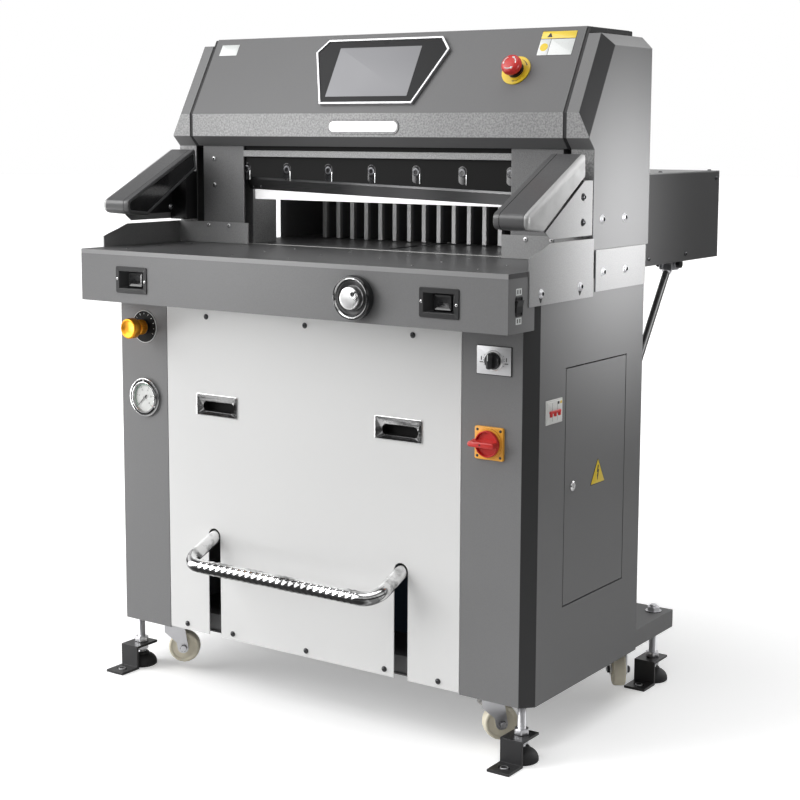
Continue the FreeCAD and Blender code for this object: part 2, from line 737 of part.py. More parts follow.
def knob_on_column(x, z, steps):
    """A turned knob in front of a column: a shaft, and discs given as (radius, from, to)."""
    parts = [rod("Y", "control_shaft", -6, 26, x, z)]
    for radius, near, far in steps:
        parts.append(rod("Y", radius, -near, -far, x, z))
    return parts


def main_switch_knob():
    parts = knob_on_column("switch_x", "switch_z", [(21, 12, 2.2)])
    parts.append(box("switch_x - 21", "switch_x + 12", -28, -10, "switch_z - 6", "switch_z + 6"))
    return fuse(*parts)


def main_switch_plate():
    return cut(box("switch_x - 30", "switch_x + 30", -2, 0, "switch_z - 30", "switch_z + 30"),
               rod("Y", "control_shaft + 1", -5, 10, "switch_x", "switch_z"))


def selector_knob():
    parts = knob_on_column("selector_x", "selector_z", [(15, 9, 2.2)])
    parts.append(box("selector_x - 5", "selector_x + 5", -24, -8, "selector_z - 14", "selector_z + 14"))
    return fuse(*parts)


def selector_plate():
    return cut(box("selector_x - 36.7", "selector_x + 36.7", -2, 0, "selector_z - 26.5", "selector_z + 26.5"),
               rod("Y", "control_shaft + 1", -5, 10, "selector_x", "selector_z"))


def throttle_knob():
    """Orange clamp pressure knob: a wide head on a waisted neck."""
    return fuse(*knob_on_column("throttle_x", "throttle_z", [(15, 34, 4), (21, 50, 32)]))


def gauge_case():
    """Pressure gauge: flanged case with a recessed dial and a bore for the pointer."""
    return cut(
        fuse(rod("Y", 40.5, -7, 0, "gauge_x", "gauge_z"), rod("Y", 30, -1, 42, "gauge_x", "gauge_z")),
        rod("Y", 29, -10, -1, "gauge_x", "gauge_z"),
        rod("Y", "1.5 + fit", -10, 12, "gauge_x", "gauge_z"),
    )


def gauge_needle():
    """Pointer drawn upright about its own spindle."""
    return fuse(
        rod("Y", 1.5, -3.5, 10, 0, 0),
        rod("Y", 3, -3.5, -2, 0, 0),
        box(-1, 1, -3.5, -2.5, -6, 21),
    )


# the pointer rests at the zero mark, low on the left
NEEDLE_REST = -135


def handwheel():
    """Hand wheel on the apron, with a finger dimple in its face."""
    wheel = fuse(
        rod("Y", "control_shaft", "apron_front - 10", "apron_front + 24", "wheel_x", "hand_z"),
        rod("Y", 41, "apron_front - 20", "apron_front - 1", "wheel_x", "hand_z"),
        rod("Y", 24, "apron_front - 26", "apron_front - 19", "wheel_x", "hand_z"),
    )
    return cut(wheel, rod("Y", 6, "apron_front - 30", "apron_front - 22.5", "wheel_x + 11", "hand_z + 9"))


def rocker_frame():
    return cut(box("half_width", "half_width + 2", -70, -40, 827, 858),
               box("half_width - 10", "half_width + 5", -67, -43, 830.5, 854.5))


def rocker():
    """Rocker of the lamp switch, on two trunnions."""
    paddle = prism("XZ_Plane", [
        ("half_width - 6", 833.5), ("half_width + 2.5", 832), ("half_width + 2.5", 842.5),
        ("half_width + 5", 853), ("half_width - 6", 851.5),
    ], -65.5, -44.5)
    return fuse(paddle, rod("Y", 1.5, -66.7, -43.3, "half_width - 1", 842.5))


def breaker():
    return cut(
        fuse(box("half_width - 60", "half_width - 3", 47, 99, 625, 661),
             box("half_width - 4", "half_width + 1", 47, 99, 625, 661),
             box("half_width", "half_width + 1.5", 43, 103, 621, 665)),
        box("half_width - 11", "half_width + 5", 56, 90, 632, 654),
    )


def breaker_toggle():
    """Red handle across the breaker's poles, on a round barrel."""
    return fuse(
        rod("Y", 4, 60, 86, "half_width - 6", 643),
        box("half_width - 6", "half_width + 6", 60, 86, 640.5, 645.5),
    )


def electrical_door():
    """Flush door in the right column, with a hinge rib and two pins at its rear edge."""
    return cut(
        fuse(
            box("half_width - 2.5", "half_width", "door_front", "door_rear", "door_bottom", "door_top"),
            box("half_width - 6.5", "half_width - 2", "hinge_y - 5", "hinge_y + 4",
                "door_bottom + 4", "door_top - 4"),
            rod("Z", "hinge_pin", "door_bottom - 7", "door_bottom + 6", "hinge_x", "hinge_y"),
            rod("Z", "hinge_pin", "door_top - 6", "door_top + 7", "hinge_x", "hinge_y"),
        ),
        rod("X", "6 + fit", 490, 520, 148, 494),
    )


def door_lock():
    """Lock barrel with its tongue turned down, unlocked."""
    return fuse(
        rod("X", 6, "half_width - 12", "half_width + 3", 148, 494),
        rod("X", 8.5, "half_width", "half_width + 2", 148, 494),
        box("half_width - 9", "half_width - 6.5", 142, 154, 456, 494),
    )


# ---------------------------------------------------------------- pedal

def pedal():
    """U-shaped tube drawn flat in XY: arms forward from a cross shaft at its origin."""
    body = doc.addObject("PartDesign::Body", "tube")
    low = "-pedal_reach"
    path = body_sketch_empty(body, "XY_Plane", 0)
    draw(path, [("pedal_left", 16), ("pedal_left", f"{low} + pedal_bend")], closed=False)
    draw(path, [("pedal_left + pedal_bend", low), ("pedal_right - pedal_bend", low)], closed=False)
    draw(path, [("pedal_right", f"{low} + pedal_bend"), ("pedal_right", 16)], closed=False)
    radius = DIMS["pedal_bend"]
    corner_y = radius - DIMS["pedal_reach"]
    for x, first, last, before in (
        (DIMS["pedal_left"] + radius, math.pi, 1.5 * math.pi, 0),
        (DIMS["pedal_right"] - radius, 1.5 * math.pi, 2 * math.pi, 1),
    ):
        circle = Part.Circle(FreeCAD.Vector(x, corner_y, 0), FreeCAD.Vector(0, 0, 1), radius)
        arc = path.addGeometry(Part.ArcOfCircle(circle, first, last), False)
        path.addConstraint(Sketcher.Constraint("Tangent", before, 2, arc, 1))
        path.addConstraint(Sketcher.Constraint("Coincident", arc, 2, before + 1, 1))
    section = body_sketch_empty(body, "XZ_Plane", -16)
    ring = Part.Circle(FreeCAD.Vector(DIMS["pedal_left"], 0, 0), FreeCAD.Vector(0, 0, 1), DIMS["pedal_tube"])
    section.addGeometry(ring, False)
    for kind, text in (("DistanceX", "pedal_left"), ("DistanceY", "0")):
        value = float(sheet.evalExpression(linked(text)))
        number = section.addConstraint(Sketcher.Constraint(kind, -1, 1, 0, 3, value))
        section.setExpression(f"Constraints[{number}]", linked(text))
    number = section.addConstraint(Sketcher.Constraint("Radius", 0, DIMS["pedal_tube"]))
    section.setExpression(f"Constraints[{number}]", linked("pedal_tube"))
    pipe = body.newObject("PartDesign::AdditivePipe", "pipe")
    pipe.Profile = section
    pipe.Spine = path
    return fuse(body, rod("X", 10, -275, 275, 0, 0))


# ---------------------------------------------------------------- feet and casters

FEET = [(side, y) for side in ("-foot_x", "foot_x") for y in ("foot_front_y", "foot_rear_y")]


def foot_brackets():
    """Stepped straps: a slotted flange on the floor, a riser, and a flange on the foot's rod."""
    straps = []
    for x, y in FEET:
        strap = fuse(
            box(f"{x} - 23", f"{x} + 23", f"{y} - 84", f"{y} - 33", 0, 5),
            box(f"{x} - 23", f"{x} + 23", f"{y} - 38", f"{y} - 33", 0, 50),
            box(f"{x} - 23", f"{x} + 23", f"{y} - 38", f"{y} + 24", 45, 50),
        )
        straps.append(cut(
            strap,
            rod("Z", 9, 40, 60, x, y),
            box(f"{x} - 6", f"{x} + 6", f"{y} - 66.5", f"{y} - 55.5", -5, 10),
            rod("Z", 5.5, -5, 10, f"{x} - 6", f"{y} - 61"),
            rod("Z", 5.5, -5, 10, f"{x} + 6", f"{y} - 61"),
        ))
    return fuse(*straps)


def levelling_feet():
    """Round pads on threaded rods, with a nut on each side of the strap."""
    feet = []
    for x, y in FEET:
        feet.append(fuse(
            rod("Z", "foot_pad_radius", 0, 14, x, y),
            rod("Z", "foot_pad_radius", 14, 24, x, y, cone_end=16),
            rod("Z", 8, 20, 110, x, y),
            rod("Z", 13, 32, 45, x, y),
            rod("Z", 13, 50, 61, x, y),
        ))
    return fuse(*feet)


def caster_fork():
    """Swivel fork drawn about its swivel axis: king pin, crown, two legs and the axle."""
    centre = "-caster_trail"
    parts = [
        rod("Z", "king_pin", 98, 118, 0, 0),
        rod("Z", 22, 90, 105, 0, 0, cone_end=20),
        rod("X", "axle_radius", "-wheel_half - 6", "wheel_half + 6", centre, "wheel_z"),
    ]
    for near, far in (("wheel_half + 2", "wheel_half + 5"), ("-wheel_half - 5", "-wheel_half - 2")):
        leg = prism("YZ_Plane", [(18, 98), (-20, 98), (-31, "wheel_z - 9"), (-13, "wheel_z - 9"), (18, 86)],
                    near, far)
        parts.append(leg)
    crown = box("-wheel_half - 5", "wheel_half + 5", -20, 18, 86, 98)
    return fuse(crown, *parts)


def caster_wheel():
    """Wheel drawn about the same swivel axis, with rounded shoulders and a hub."""
    centre = "-caster_trail"
    tread = "wheel_half - 4"
    disc = fuse(
        rod("X", "wheel_radius", f"-({tread})", tread, centre, "wheel_z"),
        rod("X", "wheel_radius", tread, "wheel_half", centre, "wheel_z", cone_end="wheel_radius - 5"),
        rod("X", "wheel_radius - 5", "-wheel_half", f"-({tread})", centre, "wheel_z",
            cone_end="wheel_radius"),
        rod("X", 11, "-wheel_half - 1.5", "wheel_half + 1.5", centre, "wheel_z"),
    )
    return cut(disc, rod("X", "axle_radius + fit", -30, 30, centre, "wheel_z"))


# way that each caster happens to point, in degrees about +Z
CASTER_TURNS = {"front_left": 124.5, "front_right": 137, "rear_left": -20, "rear_right": 34.5}


# ---------------------------------------------------------------- hydraulic power pack

def power_pack():
    """Oil tank with the pump's motor and the clamp's valve block on top of it."""
    return fuse(
        box(-180, 180, 150, 390, 147, 330),
        rod("X", 70, -150, 90, 270, 400),
        rod("X", 40, 89, 150, 270, 400),
        box(-140, 130, 240, 300, 329, 345),
    )


# ---------------------------------------------------------------- the assembly

node("base_frame", base_frame())
node("left_column", left_column())
node("right_column", right_column())
node("front_panel", front_panel())
node("panel_pulls", panel_pulls())
node("rear_panel", rear_panel())
node("table", table())
node("apron", apron())
node("cut_button_housings", cut_button_housings())
node("left_cut_button", cut_button("-cut_x"))
node("right_cut_button", cut_button("cut_x"))
node("side_plates", side_plates())
node("gantry", gantry())
node("hood_cover", hood_cover())
node("right_cheek", cheek())
node("left_cheek", mirrored(cheek()))
node("side_bolts", side_bolts())
placed_node("screen_bezel", screen_bezel(), *on_slope(0, 0, 0), SLOPE_TURN)
placed_node("touch_screen", touch_screen(), *on_slope(0, 0, 0), SLOPE_TURN)
node("estop_button", estop_button())
node("right_guard", light_guard())
node("left_guard", mirrored(light_guard()))
node("guard_brackets", guard_brackets())
node("knife_slide_blocks", knife_slide_blocks())
node("knife_bar", knife_bar())
node("knife", knife())
node("knife_bolts", knife_bolts())
node("clamp", clamp())
node("backgauge", backgauge())
node("lead_screw", lead_screw())
node("cutting_stick", cutting_stick())
node("rear_cover", rear_cover())
node("rear_lid", rear_lid())
node("rear_struts", rear_struts())
node("main_switch_plate", main_switch_plate())
node("main_switch_knob", main_switch_knob())
node("selector_plate", selector_plate())
node("selector_knob", selector_knob())
node("throttle_knob", throttle_knob())
node("gauge_case", gauge_case())
placed_node("gauge_needle", gauge_needle(), "gauge_x", 0, "gauge_z",
            FreeCAD.Rotation(FreeCAD.Vector(0, 1, 0), NEEDLE_REST))
node("handwheel", handwheel())
node("rocker_frame", rocker_frame())
node("rocker", rocker())
node("breaker", breaker())
node("breaker_toggle", breaker_toggle())
node("electrical_door", electrical_door())
node("door_lock", door_lock())
placed_node("pedal", pedal(), 0, "pedal_pivot_y", "pedal_pivot_z",
            FreeCAD.Rotation(FreeCAD.Vector(1, 0, 0), DIMS["pedal_angle"]))
node("foot_brackets", foot_brackets())
node("levelling_feet", levelling_feet())
node("power_pack", power_pack())
for place, (x, y) in CASTERS.items():
    turn = FreeCAD.Rotation(FreeCAD.Vector(0, 0, 1), CASTER_TURNS[place])
    placed_node(place + "_fork", caster_fork(), x, y, 0, turn)
    placed_node(place + "_wheel", caster_wheel(), x, y, 0, turn)

doc.recompute()

failed = [o.Label for o in doc.Objects if "Invalid" in o.State or "Error" in o.State]
if failed:
    raise RuntimeError("failed objects: " + ", ".join(failed))
for piece in nodes:
    if piece.Shape.isNull() or not piece.Shape.isValid():
        raise RuntimeError("bad shape: " + piece.Label)

os.makedirs("parts", exist_ok=True)
for piece in nodes:
    piece.Shape.exportStep(f"parts/{piece.Label}.step")
whole = Part.makeCompound([piece.Shape for piece in nodes]).BoundBox
print(f"{len(nodes)} sub-parts, box {whole.XMin:.1f}..{whole.XMax:.1f}, "
      f"{whole.YMin:.1f}..{whole.YMax:.1f}, {whole.ZMin:.1f}..{whole.ZMax:.1f}")
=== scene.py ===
"""The looks of the guillotine paper cutter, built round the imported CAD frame, in metres."""
import math

import bmesh
import bpy
from mathutils import Matrix, Vector


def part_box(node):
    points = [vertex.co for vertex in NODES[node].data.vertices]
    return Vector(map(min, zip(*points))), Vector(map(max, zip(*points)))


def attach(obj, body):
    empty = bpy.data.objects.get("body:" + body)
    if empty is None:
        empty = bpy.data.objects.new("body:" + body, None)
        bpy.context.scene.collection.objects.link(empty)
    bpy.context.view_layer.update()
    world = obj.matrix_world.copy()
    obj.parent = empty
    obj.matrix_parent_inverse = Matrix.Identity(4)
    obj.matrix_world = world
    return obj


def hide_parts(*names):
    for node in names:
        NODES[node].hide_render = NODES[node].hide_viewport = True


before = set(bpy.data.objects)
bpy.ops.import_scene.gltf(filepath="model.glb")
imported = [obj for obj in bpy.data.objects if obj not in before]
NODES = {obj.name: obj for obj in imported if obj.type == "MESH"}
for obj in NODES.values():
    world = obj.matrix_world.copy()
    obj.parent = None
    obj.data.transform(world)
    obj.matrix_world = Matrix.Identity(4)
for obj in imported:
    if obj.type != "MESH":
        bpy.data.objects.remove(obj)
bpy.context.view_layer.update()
MM = 0.001

# ---------------------------------------------------------------- places read from the frame
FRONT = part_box("right_column")[0].y  # the columns' front faces, from which every depth is counted


def at(x, y, z):
    """A point in millimetres, with its depth counted from the columns' front faces."""
    return Vector((x * MM, FRONT + y * MM, z * MM))


# ---------------------------------------------------------------- camera, lights, floor
EYE = Vector((1.89564, -2.85910, 1.13605))
AZIMUTH, ELEVATION, ROLL = (math.radians(a) for a in (34.541, 7.300, 0.217))
LENS = 72.83
SHIFT_Y = -0.075


def make_camera():
    back = Vector((
        math.sin(AZIMUTH) * math.cos(ELEVATION),
        -math.cos(AZIMUTH) * math.cos(ELEVATION),
        math.sin(ELEVATION),
    ))
    right = Vector((math.cos(AZIMUTH), math.sin(AZIMUTH), 0.0))
    up = back.cross(right)
    turned_right = right * math.cos(ROLL) + up * math.sin(ROLL)
    turned_up = up * math.cos(ROLL) - right * math.sin(ROLL)
    camera = bpy.data.objects.new("camera", bpy.data.cameras.new("camera"))
    bpy.context.scene.collection.objects.link(camera)
    turn = Matrix((turned_right, turned_up, back)).transposed()
    camera.matrix_world = Matrix.Translation(EYE) @ turn.to_4x4()
    camera.data.lens = LENS
    camera.data.shift_y = SHIFT_Y
    camera.data.clip_end = 200.0
    bpy.context.scene.camera = camera


def place_light(name, kind, azimuth, elevation, power):
    """A light that shines from that direction. Returns its object and the direction."""
    a, e = math.radians(azimuth), math.radians(elevation)
    out = Vector((math.sin(a) * math.cos(e), -math.cos(a) * math.cos(e), math.sin(e)))
    light = bpy.data.lights.new(name, kind)
    light.energy = power
    lamp = bpy.data.objects.new(name, light)
    bpy.context.scene.collection.objects.link(lamp)
    lamp.rotation_mode = "QUATERNION"
    lamp.rotation_quaternion = (-out).to_track_quat("-Z", "Y")
    return lamp, out


def area_light(name, azimuth, elevation, distance, size, power, target, spread):
    lamp, out = place_light(name, "AREA", azimuth, elevation, power)
    lamp.location = Vector(target) + out * distance
    lamp.data.size = size
    lamp.data.spread = math.radians(spread)


def sun_light(name, azimuth, elevation, spread, power):
    lamp, _ = place_light(name, "SUN", azimuth, elevation, power)
    lamp.data.angle = math.radians(spread)


WORLD_FILL = 0.20
# how brightly reflections see the room, by the height they look at
ROOM = ((0.10, 0.02), (0.16, 0.30), (0.30, 0.85), (0.52, 0.7), (0.66, 0.14))


def make_studio():
    """Three broad suns, and three small lamps for the right side, the left one and the throat."""
    sun_light("key", -52, 25, 44, 2.25)
    sun_light("top", -10, 80, 60, 1.55)
    sun_light("rear", 160, 30, 50, 0.8)
    area_light("side", 92, 2, 1.1, 0.35, 1.65, (0.5, -0.08, 0.98), 36)
    area_light("left", -62, -4, 1.9, 0.8, 5, (-0.5, -0.3, 0.4), 90)
    area_light("throat", -16, 0, 1.2, 0.5, 0.42, (-0.08, -0.25, 1.06), 44)
    world = bpy.data.worlds.new("studio")
    bpy.context.scene.world = world
    world.use_nodes = True
    tree = world.node_tree
    new, link = tree.nodes.new, tree.links.new
    tree.nodes.clear()
    out = new("ShaderNodeOutputWorld")
    path = new("ShaderNodeLightPath")
    grounds = []
    for strength in (WORLD_FILL, 1.0, 1.0):
        grounds.append(new("ShaderNodeBackground"))
        grounds[-1].inputs["Color"].default_value = (1, 1, 1, 1)
        grounds[-1].inputs["Strength"].default_value = strength
    fill, mirrored, seen = grounds
    # reflections see a dark room up to a bright ring of softboxes, under a dim ceiling
    place = new("ShaderNodeTexCoord")
    parts = new("ShaderNodeSeparateXYZ")
    room = new("ShaderNodeValToRGB")
    room.color_ramp.elements[0].position = 0.0
    room.color_ramp.elements[1].position = 1.0
    for height, glow in ROOM:
        stop = room.color_ramp.elements.new(height)
        stop.color = (glow, glow, glow, 1)
    room.color_ramp.elements[0].color = (0.02, 0.02, 0.02, 1)
    room.color_ramp.elements[-1].color = (0.10, 0.10, 0.10, 1)
    link(place.outputs["Generated"], parts.inputs[0])
    link(parts.outputs["Z"], room.inputs[0])
    link(room.outputs[0], mirrored.inputs["Color"])
    shiny = new("ShaderNodeMixShader")
    link(path.outputs["Is Glossy Ray"], shiny.inputs[0])
    link(fill.outputs[0], shiny.inputs[1])
    link(mirrored.outputs[0], shiny.inputs[2])
    whole = new("ShaderNodeMixShader")
    link(path.outputs["Is Camera Ray"], whole.inputs[0])
    link(shiny.outputs[0], whole.inputs[1])
    link(seen.outputs[0], whole.inputs[2])
    link(whole.outputs[0], out.inputs["Surface"])
    bpy.context.scene.view_settings.view_transform = "Standard"


def make_floor(radius=40.0, sides=96):
    mesh = bpy.data.meshes.new("floor")
    floor = bpy.data.objects.new("floor", mesh)
    ring = [
        (radius * math.cos(math.tau * i / sides), radius * math.sin(math.tau * i / sides), 0.0)
        for i in range(sides)
    ]
    mesh.from_pydata(ring, [], [list(range(sides))])
    bpy.context.scene.collection.objects.link(floor)
    mesh.materials.append(finish("floor"))


# ---------------------------------------------------------------- materials
class Shader:
    """A material's node tree, with a principled shader at its end."""

    def __init__(self, name, colour, roughness=0.5, metallic=0.0, **sockets):
        self.material = bpy.data.materials.new(name)
        self.material.use_nodes = True
        self.tree = self.material.node_tree
        self.tree.nodes.clear()
        self.out = self.node("ShaderNodeOutputMaterial")
        self.bsdf = self.node("ShaderNodeBsdfPrincipled")
        self.link(self.bsdf.outputs[0], self.out.inputs["Surface"])
        self.set("Base Color", (*colour, 1.0))
        self.set("Roughness", roughness)
        self.set("Metallic", metallic)
        for key, value in sockets.items():
            self.set(key.replace("_", " "), value)
        coordinates = self.node("ShaderNodeTexCoord")
        self.place = coordinates.outputs["Object"]
        self.normal = coordinates.outputs["Normal"]
        self.material.diffuse_color = (*colour, 1.0)

    def node(self, kind, **values):
        made = self.tree.nodes.new(kind)
        for key, value in values.items():
            setattr(made, key, value)
        return made

    def link(self, source, target):
        self.tree.links.new(source, target)

    def set(self, socket, value):
        self.bsdf.inputs[socket].default_value = value

    def noise(self, scale, detail=3.0, stretch=(1, 1, 1), roughness=0.55):
        """Noise with features of about 1 / scale metres."""
        mapping = self.node("ShaderNodeMapping")
        mapping.inputs["Scale"].default_value = stretch
        self.link(self.place, mapping.inputs["Vector"])
        texture = self.node("ShaderNodeTexNoise")
        texture.inputs["Scale"].default_value = scale
        texture.inputs["Detail"].default_value = detail
        texture.inputs["Roughness"].default_value = roughness
        self.link(mapping.outputs[0], texture.inputs["Vector"])
        return texture.outputs["Fac"]

    def ramp(self, value, low, high, start=0.3, end=0.7):
        """value between start and end, spread linearly over low to high."""
        spread = self.node("ShaderNodeMapRange")
        spread.inputs["From Min"].default_value = start
        spread.inputs["From Max"].default_value = end
        spread.inputs["To Min"].default_value = low
        spread.inputs["To Max"].default_value = high
        self.link(value, spread.inputs["Value"])
        return spread.outputs[0]

    def colour(self, value, first, second, start=0.3, end=0.7):
        ramp = self.node("ShaderNodeValToRGB")
        ramp.color_ramp.elements[0].position = start
        ramp.color_ramp.elements[1].position = end
        ramp.color_ramp.elements[0].color = (*first, 1)
        ramp.color_ramp.elements[1].color = (*second, 1)
        self.link(value, ramp.inputs[0])
        return ramp.outputs[0]

    def mix(self, factor, first, second, kind="MIX"):
        mixed = self.node("ShaderNodeMix", data_type="RGBA", blend_type=kind)
        sockets = [mixed.inputs[0], mixed.inputs[6], mixed.inputs[7]]
        for socket, value in zip(sockets, (factor, first, second)):
            if isinstance(value, bpy.types.NodeSocket):
                self.link(value, socket)
            elif isinstance(value, tuple):
                socket.default_value = (*value, 1)
            else:
                socket.default_value = value
        return mixed.outputs[2]

    def axes(self, vector):
        """The X, Y and Z of a place or a normal."""
        parts = self.node("ShaderNodeSeparateXYZ")
        self.link(vector, parts.inputs[0])
        return parts.outputs

    def maths(self, operation, *values):
        made = self.node("ShaderNodeMath", operation=operation)
        for value, socket in zip(values, made.inputs):
            self.link(value, socket)
        return made.outputs[0]

    def facing(self, direction, start, end):
        """1 where the surface looks along direction, in the piece's own axes, and 0 elsewhere."""
        dot = self.node("ShaderNodeVectorMath", operation="DOT_PRODUCT")
        self.link(self.normal, dot.inputs[0])
        dot.inputs[1].default_value = direction
        return self.ramp(dot.outputs["Value"], 0.0, 1.0, start, end)

    def corners(self):
        """1 on the chamfers between front and side faces, and 0 on faces square to an axis. It places the
        painted shade on the chamfers.
        """
        parts = self.axes(self.normal)
        product = self.maths("MULTIPLY", parts["X"], parts["Y"])
        return self.ramp(self.maths("ABSOLUTE", product), 0.0, 1.0, 0.2, 0.34)

    def paint(self, value):
        self.link(value, self.bsdf.inputs["Base Color"])

    def done(self, dull, low, high, relief=None, depth=0.0):
        """The material. dull spreads its roughness over low to high, and relief times depth, in
        metres, raises it."""
        self.link(self.ramp(dull, low, high), self.bsdf.inputs["Roughness"])
        if relief is not None:
            raised = self.node("ShaderNodeBump")
            raised.inputs["Strength"].default_value = 1.0
            raised.inputs["Distance"].default_value = depth
            self.link(relief, raised.inputs["Height"])
            self.link(raised.outputs[0], self.bsdf.inputs["Normal"])
        return self.material


def shade(tone, change):
    return tuple(min(1.0, max(0.0, c * change)) for c in tone)


COAT_DEPTH, COAT_SHEEN = 0.00006, 0.5


def powder_coat(name, tone, grain, speckle, depth=COAT_DEPTH, corner=None, front=None):
    """Textured powder coat: a fine raised grain, paler specks and faint clouding. The 45 degree
    corners take the tone corner, which is painted shade. A face that looks straight forward is
    coarser and takes a painted highlight, a glint that goes from the first tone of front at the
    left to the second at the right."""
    s = Shader(name, tone, COAT_SHEEN, Specular_IOR_Level=0.4)
    fine = s.noise(grain, 2.0)
    cloud = s.noise(3.0, 2.0)
    base = s.colour(fine, shade(tone, 1 - speckle), shade(tone, 1 + speckle), 0.35, 0.65)
    if front is not None:
        # painted highlight: a glint on faces that look straight forward, paler at the left
        painted_glint = s.colour(s.ramp(s.axes(s.place)["X"], 0.0, 1.0, -0.5, 0.5), *front, 0.0, 1.0)
        coarse = s.noise(grain * 0.45, 2.0)
        grains = s.mix(s.ramp(coarse, 0.0, 1.0, 0.36, 0.64), shade((1, 1, 1), 0.58), shade((1, 1, 1), 1.0))
        base = s.mix(s.facing((0, -1, 0), 0.995, 0.999), base, s.mix(1.0, painted_glint, grains, "MULTIPLY"))
    base = s.mix(s.ramp(cloud, 0.0, 0.35), base, shade(tone, 0.88))
    # painted shade: the 45 degree chamfers are darkened to the tone corner, for the shade they fall in
    if corner is not None:
        base = s.mix(s.corners(), base, corner)
    s.paint(base)
    return s.done(fine, COAT_SHEEN - 0.07, COAT_SHEEN + 0.07, fine, depth)


def gloss_paint(name, tone, roughness):
    """Smooth stove enamel with a faint orange peel."""
    s = Shader(name, tone, roughness, Specular_IOR_Level=0.5, Coat_Weight=0.15, Coat_Roughness=0.2)
    peel = s.noise(260.0, 1.0)
    cloud = s.noise(2.5, 2.0)
    s.paint(s.mix(s.ramp(cloud, 0.0, 0.3), tone, shade(tone, 0.94)))
    return s.done(peel, roughness - 0.04, roughness + 0.06, peel, 0.00003)


def brushed(name, tone, roughness, along=(1, 40, 40), scale=60.0, metallic=1.0):
    """Ground or brushed metal, its marks running along the axis with the smallest stretch."""
    s = Shader(name, tone, roughness, metallic)
    lines = s.noise(scale, 4.0, along)
    cloud = s.noise(6.0, 2.0)
    grain = s.colour(lines, shade(tone, 0.9), shade(tone, 1.06))
    s.paint(s.mix(s.ramp(cloud, 0.0, 0.5), grain, shade(tone, 0.86)))
    return s.done(lines, roughness - 0.08, roughness + 0.1, lines, 0.00002)


def moulded(name, tone, roughness, grain=900.0):
    """Moulded plastic with a fine spark-eroded grain."""
    s = Shader(name, tone, roughness, Specular_IOR_Level=0.5)
    fine = s.noise(grain, 2.0)
    cloud = s.noise(30.0, 2.0)
    s.paint(s.mix(s.ramp(cloud, 0.0, 0.4), tone, shade(tone, 0.82)))
    return s.done(fine, roughness - 0.06, roughness + 0.08, fine, 0.00002)


def rubber(name):
    s = Shader(name, (0.012, 0.012, 0.013), 0.62)
    fine = s.noise(1400.0, 3.0)
    dust = s.noise(25.0, 4.0)
    s.paint(s.colour(dust, (0.010, 0.010, 0.011), (0.022, 0.022, 0.023), 0.4, 0.75))
    return s.done(fine, 0.5, 0.75, fine, 0.00005)


def planed_bed(name):
    """The cast bed: planed fine along its width, satin, with paler edges."""
    s = Shader(name, (0.08, 0.08, 0.082), 0.3, Specular_IOR_Level=0.5)
    marks = s.noise(90.0, 3.0, (1, 14, 1))
    fine = s.noise(700.0, 2.0)
    top = s.colour(marks, (0.076, 0.076, 0.078), (0.086, 0.086, 0.088))
    s.paint(s.mix(s.facing((0, -1, 0), 0.9, 0.99), top, (0.30, 0.30, 0.302)))
    return s.done(marks, 0.29, 0.33, fine, 0.000008)


def ground_blade(name):
    """Knife steel: ground fine along its length, with broad light and dark patches along it that are painted
    reflections.
    """
    s = Shader(name, (0.3, 0.3, 0.31), 0.36, 0.7)
    lines = s.noise(20.0, 3.0, (1, 90, 90))
    # painted reflection: broad light and dark patches along the blade
    patches = s.noise(3.4, 1.0, (1, 0.1, 0.1))
    light = s.colour(patches, (0.05, 0.05, 0.052), (0.34, 0.34, 0.345), 0.42, 0.58)
    s.paint(s.mix(s.ramp(lines, 0.0, 0.35), light, shade((1, 1, 1), 0.22)))
    return s.done(lines, 0.3, 0.42, lines, 0.000002)


def planed_clamp(name):
    """The clamp's face: planed, nearly white, with fine marks along it and a painted glow that stands for the
    light of the pile below.
    """
    # painted light: the emission is a painted glow on the clamp face
    s = Shader(name, (0.86, 0.86, 0.86), 0.42, 0.15, Emission_Strength=0.5, Emission_Color=(1, 1, 1, 1))
    lines = s.noise(14.0, 3.0, (1, 60, 60))
    s.paint(s.colour(lines, (0.72, 0.72, 0.72), (0.90, 0.90, 0.90)))
    return s.done(lines, 0.38, 0.5, lines, 0.000002)


def fence_steel(name):
    """The back gauge: painted dark behind as shade, with its rib faces left bare."""
    s = Shader(name, (0.4, 0.4, 0.4), 0.4, 0.6)
    # painted shade: everything behind the rib faces is darkened
    behind = s.ramp(s.axes(s.place)["Y"], 0.0, 1.0, 0.040, 0.052)
    lines = s.noise(60.0, 4.0, (20, 20, 1))
    s.paint(s.mix(behind, s.colour(lines, (0.34, 0.34, 0.34), (0.50, 0.50, 0.50)), (0.10, 0.10, 0.10)))
    return s.done(lines, 0.35, 0.5, lines, 0.000006)


def plated(name, tone, roughness=0.07):
    """Chrome or nickel plate over drawn tube, which is never quite even."""
    s = Shader(name, (tone, tone, tone), roughness, 1.0)
    streak = s.noise(14.0, 3.0)
    haze = s.noise(160.0, 3.0)
    s.paint(s.colour(streak, (tone * 0.8,) * 3, (tone,) * 3, 0.38, 0.56))
    return s.done(haze, roughness * 0.6, roughness * 1.9, streak, 0.0003)


def bar_chrome(name):
    """Chrome on bent tube: streaked light and dark, partly uneven plate and partly painted reflection, with a
    painted dark reflection of the room along its front.
    """
    s = Shader(name, (0.86, 0.86, 0.86), 0.06, 1.0)
    streak = s.noise(30.0, 4.0, (0.45, 1, 1))
    haze = s.noise(160.0, 3.0)
    # painted reflection: strong light and dark streaks, and a dark band where the tube looks forward and down
    light = s.colour(streak, (0.20, 0.20, 0.20), (0.90, 0.90, 0.90), 0.40, 0.54)
    s.paint(s.mix(s.facing((0.05, -0.95, -0.30), 0.84, 0.95), light, (0.035, 0.035, 0.035)))
    return s.done(haze, 0.03, 0.11, streak, 0.0003)


